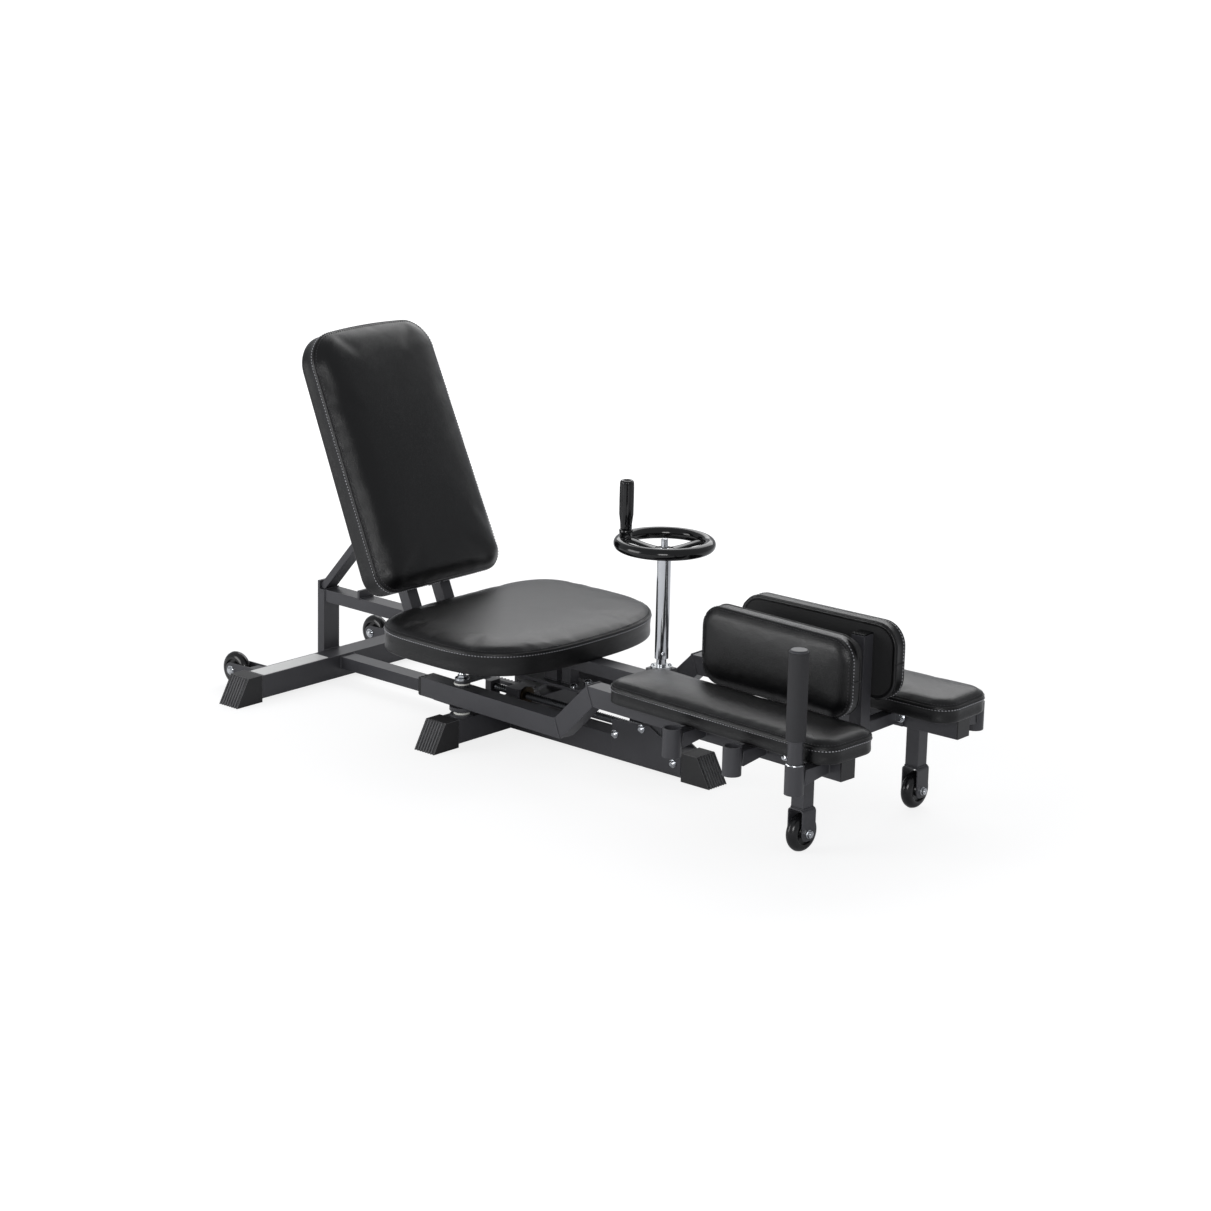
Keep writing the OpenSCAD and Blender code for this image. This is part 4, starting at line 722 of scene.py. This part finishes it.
turn = np.linspace(-0.5 * np.pi, 0.5 * np.pi, 29)
tread = np.stack([25 + 13 * np.cos(turn), 13 * np.sin(turn)], -1)
tread[:, 0] += 0.35 * np.exp(-(tread[:, 1] / 0.7) ** 2)
wheel_profile = np.concatenate([
    tread, [[23.2, 12.6], [22.0, 11.0], [21.4, 7.4], [13.4, 7.0], [12.6, 7.8], [12.2, 12.2], [11.4, 13.0],
            [5.4, 13.0], [5.4, -13.0], [11.4, -13.0], [12.2, -12.2], [12.6, -7.8], [13.4, -7.0], [21.4, -7.4],
            [22.0, -11.0], [23.2, -12.6]]])
wheel_gloss = coat("gloss_black_polyurethane", "#0b0b0c", "#141416", "#2c2c2e", 0.20, 4.0, 0.03, 0.6, 0.3)
caster_u, axle_z = 922, 38
wheels = {"near_transport": ([-100, -212, 39], Y), "far_transport": ([-100, 212, 39], Y)}
for side in ("near", "far"):
    origin, along, inward = leg_frame(side)
    wheels[side + "_caster"] = (origin + caster_u * along + axle_z * Z, along)
for body, (centre, axis) in wheels.items():
    piece = join(body + "_wheel_moulding", [lathe(wheel_profile, centre, axis)], 40)
    outward_faces(piece)
    piece.data.materials.append(wheel_gloss)
    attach(piece, body)
    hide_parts(body + "_wheel")
dress(wheel_gloss, "near_arm_plugs", "far_arm_plugs")

# Caster forks: 3 mm strip bent to a U, its two ends cut round, hung under the arm's post and powder
# coated. A chrome axle bolt with a washer and a hexagon nut holds the wheel.
bend = np.linspace(0, np.pi / 2, 9)
half_path = np.concatenate([
    np.stack([np.full(40, -17.5), np.linspace(24.0, 80.5, 40)], -1),
    np.stack([-11.5 - 6 * np.cos(bend[1:]), 80.5 + 6 * np.sin(bend[1:])], -1), [[-4.0, 86.5]]])
path = np.concatenate([half_path, (half_path * (-1, 1))[::-1]])
ahead = np.gradient(path, axis=0)
ahead /= np.linalg.norm(ahead, axis=1)[:, None]
outer = np.stack([-ahead[:, 1], ahead[:, 0]], -1)
low_end = np.clip(path[:, 1] - 24.0, 0, 13)
half_wide = 6.3 + np.sqrt(np.maximum(0.4, 169 - (13 - low_end) ** 2))
for side in ("near", "far"):
    origin, along, inward = leg_frame(side)
    order = [(1.0, 1, 0.0), (1.5, 1, 0.5), (1.5, -1, 0.5), (1.0, -1, 0.0), (-1.0, -1, 0.0), (-1.5, -1, 0.5),
             (-1.5, 1, 0.5), (-1.0, 1, 0.0)]
    rows = []
    for thick, way, edge in order:
        flat = path + thick * outer
        rows.append(np.stack([caster_u + flat[:, 0], way * (half_wide - edge), flat[:, 1]], -1))
    points = on_leg(side, np.stack(rows, 1).reshape(-1, 3))
    count = len(path)
    a = np.arange(count - 1)[:, None] * 8 + np.arange(8)[None]
    b = np.arange(count - 1)[:, None] * 8 + (np.arange(8)[None] + 1) % 8
    faces = np.stack([a, b, b + 8, a + 8], -1).reshape(-1, 4).tolist()
    faces += [list(range(8))[::-1], list(range((count - 1) * 8, count * 8))]
    fork = join(side + "_fork_strip", [(points, faces)], 35)
    outward_faces(fork)
    fork.data.materials.append(powder_coat)
    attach(fork, side + "_leg")
    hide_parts(side + "_caster_fork")
    axle = [lathe([[0.1, -19], [4.9, -19], [4.9, 19], [0.1, 19]], origin + caster_u * along + axle_z * Z, along, 32)]
    for way in (1, -1):
        hub_at = origin + (caster_u + way * 19.0) * along + axle_z * Z
        axle.append(lathe([[0.1, 0], [8.4, 0], [8.4, 1.0], [8.0, 1.4], [0.1, 1.4]], hub_at, way * along, 48))
        axle.append(lathe([[0.1, 1.4], [7.0, 1.4], [7.5, 1.9], [7.5, 6.0], [6.7, 6.6], [0.1, 6.6]], hub_at,
                          way * along, 6))
        axle.append(lathe([[0.1, 6.6], [4.3, 6.6], [4.3, 7.4], [3.6, 8.0], [0.1, 8.1]], hub_at, way * along, 32))
    nuts = join(side + "_caster_axle_nuts", axle, 30)
    outward_faces(nuts)
    nuts.data.materials.append(bright_chrome)
    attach(nuts, side + "_leg")

# Pivot bolts of the leg arms: M16 with two stacked washers and a domed hexagon nut on top of the
# bridge plate, chrome plated.
stack = []
for y in (-pivot_y, pivot_y):
    foot = [pivot_x, y, 0.0]
    stack += [lathe([[0.1, 61], [7.95, 61], [7.95, 133.3], [0.1, 133.3]], foot, Z, 48),
              lathe([[0.1, 133.3], [15.2, 133.3], [15.4, 134], [15.4, 135.1], [14.5, 135.5], [14.5, 136.0],
                     [15.2, 136.4], [15.2, 137.5], [14.6, 138.0], [0.1, 138.0]], foot, Z, 64),
              lathe([[0.1, 138.0], [9.2, 138.0], [9.8, 138.7], [9.8, 143.4], [8.7, 144.2], [0.1, 144.2]], foot, Z, 6),
              lathe([[0.1, 144.2], [7.4, 144.2], [7.2, 146.4], [6.0, 149.2], [3.4, 151.0], [0.1, 151.4]], foot,
                    Z, 40)]
pivots = join("pivot_nuts_and_washers", stack, 30)
outward_faces(pivots)
pivots.data.materials.append(bright_chrome)
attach(pivots, "base")
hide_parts("pivot_bolts")

# Bolts that hold the plate of each upright pad's post against the arm: two plated hexagon heads on
# the inner side, one nut outside, and the bare lip of the sleeve that the foot peg has rubbed.
for side in ("near", "far"):
    origin, along, inward = leg_frame(side)
    heads = []
    for u in (867.0, 898.0):
        seat = origin + u * along + 25.3 * inward + 187 * Z
        heads += [lathe([[0.1, 0], [10.6, 0], [10.6, 1.6], [0.1, 1.6]], seat, inward, 40),
                  lathe([[0.1, 1.6], [8.6, 1.6], [9.2, 2.2], [9.2, 8.0], [8.2, 9.0], [0.1, 9.0]], seat, inward, 6)]
    seat = origin + 893.0 * along - 20.0 * inward + 184 * Z
    heads += [lathe([[0.1, 0], [7.4, 0], [7.4, 1.4], [0.1, 1.4]], seat, -inward, 40),
              lathe([[0.1, 1.4], [5.8, 1.4], [6.2, 1.9], [6.2, 6.0], [4.4, 7.4], [0.1, 8.0]], seat, -inward, 6)]
    if side == "near":
        heads.append(lathe([[15.0, 0.1], [18.3, 0.1], [19.0, 1.0], [18.6, 2.2], [17.4, 2.8], [15.4, 2.8]],
                           origin + 986 * along - 104 * inward + 210 * Z, Z, 64))
    bolts = join(side + "_post_bolts", heads, 30)
    outward_faces(bolts)
    bolts.data.materials.append(bright_chrome)
    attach(bolts, side + "_leg")

# Square plugs in the open tops of the upright pads' posts: injection moulded black plastic with a
# low chamfered head.
post_u, post_in = 882, 145.3
rings = np.array([[[post_u + sx * h, post_in + sy * h, z] for sx, sy in ((-1, -1), (1, -1), (1, 1), (-1, 1))]
                  for h, z in ((14.8, 378.02), (14.8, 380.2), (13.6, 381.2))])
plug_faces = [[4 * k + i, 4 * k + (i + 1) % 4, 4 * k + 4 + (i + 1) % 4, 4 * k + 4 + i]
              for k in (0, 1) for i in range(4)] + [[0, 1, 2, 3], [8, 9, 10, 11]]
for side in ("near", "far"):
    plug = join(side + "_post_plug", [(on_leg(side, rings.reshape(-1, 3)), plug_faces)], 20)
    outward_faces(plug)
    plug.data.materials.append(wheel_gloss)
    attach(plug, side + "_leg")

# Handwheel of gloss black phenolic plastic: a round rim, three tapered spokes that slope down to a
# low hub, moulded in one and pressed on the stem.


def loft(centres, half_wide, half_thick, wide_way, thick_way, sides=28):
    """A bar whose section is a rounded oval |x/a|^2.6 + |y/b|^2.6 = 1 that changes along its centres."""
    turn = np.linspace(0, 2 * np.pi, sides, endpoint=False)
    c = np.sign(np.cos(turn)) * np.abs(np.cos(turn)) ** (2 / 2.6)
    s = np.sign(np.sin(turn)) * np.abs(np.sin(turn)) ** (2 / 2.6)
    points = (centres[:, None] + (half_wide[:, None] * c)[..., None] * wide_way
              + (half_thick[:, None] * s)[..., None] * thick_way)
    rows = len(centres)
    a = np.arange(rows - 1)[:, None] * sides + np.arange(sides)[None]
    b = np.arange(rows - 1)[:, None] * sides + (np.arange(sides)[None] + 1) % sides
    faces = np.stack([a, b, b + sides, a + sides], -1).reshape(-1, 4).tolist()
    faces += [list(range(sides))[::-1], list(range((rows - 1) * sides, rows * sides))]
    return points.reshape(-1, 3), faces


stem_x = 928.0
hand = np.array([stem_x, 0.0, 474.0])
turn = np.linspace(0, 2 * np.pi, 48, endpoint=False)
rim_section = np.stack([90.5 + 12 * np.cos(turn), 12 * np.sin(turn)], -1)
hub_profile = [[9.0, -24.6], [17, -24.6], [19.4, -23.2], [21.4, -17], [21.8, -13], [20.6, -10.2], [17, -9.2],
               [9.0, -9.0]]
wheel_parts = [lathe(rim_section, hand, Z, 144), lathe(hub_profile, hand, Z)]
for degrees in (70, 190, 310):
    spoke_way = np.array([math.cos(math.radians(degrees)), math.sin(math.radians(degrees)), 0.0])
    wide_way = np.array([-spoke_way[1], spoke_way[0], 0.0])
    t = np.linspace(0, 1, 26)
    centres = hand + (14 + 72 * t)[:, None] * spoke_way + (-16.0 + 12.5 * t)[:, None] * Z
    wheel_parts.append(loft(centres, 15 - 6 * np.sin(np.pi * t) ** 0.8 * 0.9, 5.6 - 1.6 * np.sin(np.pi * t),
                            wide_way, Z))
pivot = hand + 90.5 * np.array([math.cos(math.radians(190)), math.sin(math.radians(190)), 0.0])
wheel_parts.append(lathe([[4.6, 2], [12.6, 2], [13.4, 9], [13.9, 14.6], [13.2, 15.7], [4.6, 15.9]], pivot, Z, 64))
rim = join("handwheel_moulding", wheel_parts, 50)
outward_faces(rim)
phenolic = coat("polished_black_phenolic", "#060607", "#0c0c0e", "#1c1c1e", 0.10, 6.0, 0.02, 0.5, 0.15)
rim.data.materials.append(phenolic)
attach(rim, "crank")
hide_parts("handwheel")

# Drive shaft: ground steel in the bearing, a chrome plated stem above it with a grub screw, and a
# 16 tooth bevel gear at its foot. Its head ends in the hub of the handwheel.
column = [stem_x, 0.0, 0.0]
turn = np.linspace(0, 2 * np.pi, 256, endpoint=False)
tooth = 16 - 0.55 + 1.65 * np.clip(2 * np.cos(16 * turn), -1, 1)
gear = np.stack([np.stack([f * tooth * np.cos(turn), f * tooth * np.sin(turn), np.full(256, z)], -1)
                 for f, z in ((0.02, 94.0), (1.0, 94.0), (0.5625, 87.0), (0.02, 87.0))], 1) + column
a = np.arange(256)[:, None] * 4 + np.arange(4)[None]
b = np.arange(256)[:, None] * 4 + (np.arange(4)[None] + 1) % 4
gear_faces = np.stack([a, b, (b + 4) % 1024, (a + 4) % 1024], -1).reshape(-1, 4).tolist()
screw_way = np.array([math.cos(math.radians(-35)), math.sin(math.radians(-35)), 0.0])
shaft_piece = join("drive_shaft_and_stem", [
    (gear.reshape(-1, 3), gear_faces), lathe([[0.1, 94], [13, 94], [13, 98], [0.1, 98]], column, Z, 64),
    lathe([[0.1, 98], [10, 98], [10, 235.4], [13.3, 235.8], [14, 236.6], [14, 448.6], [13.4, 449.2], [8.9, 449.2],
           [8.9, 464.4], [7.0, 465.2], [7.0, 482.4], [5.8, 483.8], [0.1, 483.8]], column, Z, 96),
    lathe([[0.1, 12], [4, 12], [4, 17], [3.4, 18], [0.1, 18]], np.array(column) + 248 * Z, screw_way, 24)], 30)
outward_faces(shaft_piece)
shaft_piece.data.materials.append(bright_chrome)
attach(shaft_piece, "crank")
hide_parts("drive_shaft")

# Turning handle on its spindle: the same phenolic, thicker toward the top, with eight flutes and a
# recess for the head of the spindle.
steps, rows = 160, 60
pivot = pivot + 17 * Z
rise_mm = np.concatenate([[0, 0.6], np.linspace(1.6, 94, rows), [96.5, 98.4, 99.5, 100, 100, 94.2, 93.6, 93.6, 0]])
radii = np.concatenate([[10.8, 11.5], np.interp(np.linspace(1.6, 94, rows), [1.6, 8, 10, 30, 60, 84, 94],
                                                [11.7, 12.0, 11.9, 14.6, 14.9, 14.8, 14.4]),
                        [14.0, 13.2, 12.1, 10.6, 7.8, 7.5, 7.3, 4.1, 4.1]])
turn = np.linspace(0, 2 * np.pi, steps, endpoint=False)
flute = np.clip((rise_mm - 16) / 40, 0, 1) * (radii > 10.5)
scallop = np.maximum(0, np.cos(8 * turn)) ** 3
wave = radii[None] - 2.0 * flute[None] * scallop[:, None]
points = pivot + np.stack([wave * np.cos(turn)[:, None], wave * np.sin(turn)[:, None],
                           np.broadcast_to(rise_mm, wave.shape)], -1)
count = len(rise_mm)
a = np.arange(steps)[:, None] * count + np.arange(count)[None]
b = np.arange(steps)[:, None] * count + (np.arange(count)[None] + 1) % count
grip = build_mesh("handle_moulding", place(points.reshape(-1, 3)), np.stack(
    [a, (a + count) % (steps * count), (b + count) % (steps * count), b], -1).reshape(-1, 4), 45)
outward_faces(grip)
grip.data.materials.append(phenolic)
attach(grip, "crank_handle")
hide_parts("handle_grip")

# Lead screw: rolled steel of 16 mm with a four-start thread of 24 mm lead, and plain turned ends
# where it runs in its bearings.
along_mm = np.arange(472.3, 908.01, 0.9)
turn = np.linspace(0, 2 * np.pi, 48, endpoint=False)
phase = (along_mm[:, None] - turn[None] * 24 / (2 * np.pi)) / 6.0
flank = np.clip(1.6 * np.cos(2 * np.pi * phase), -1, 1)
plain = ((along_mm < 480) | (along_mm > 893))[:, None]
depth = np.where(plain, 8.0, 7.35 + 0.62 * flank)
screw_z, tail_mm = 78, 5.95
shaft = np.stack([np.broadcast_to(along_mm[:, None], depth.shape), depth * np.cos(turn),
                  screw_z + depth * np.sin(turn)], -1)
tail = np.stack([np.full(48, 0.0), tail_mm * np.cos(turn), screw_z + tail_mm * np.sin(turn)], -1)
rods = np.concatenate([[tail + [454.0, 0, 0], tail + [472.3, 0, 0]], shaft])
rows, sides = len(rods), 48
a = np.arange(rows - 1)[:, None] * sides + np.arange(sides)[None]
b = np.arange(rows - 1)[:, None] * sides + (np.arange(sides)[None] + 1) % sides
faces = np.stack([a, b, b + sides, a + sides], -1).reshape(-1, 4).tolist()
faces += [list(range(sides))[::-1], list(range((rows - 1) * sides, rows * sides))]
screw = build_mesh("lead_screw_thread", place(rods.reshape(-1, 3)), faces, 40)
outward_faces(screw)
screw.data.materials.append(dark_steel)
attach(screw, "screw")
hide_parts("lead_screw")

# Foot peg grip: black nitrile foam tube slid over the peg. Its fine closed cells leave a dull,
# slightly dusty grey.
foam = coat("black_nitrile_foam", "#28282a", "#363638", "#424244", 0.86, 1.8, 0.35, 1.5, 0.2)
dress(foam, "peg_grip")
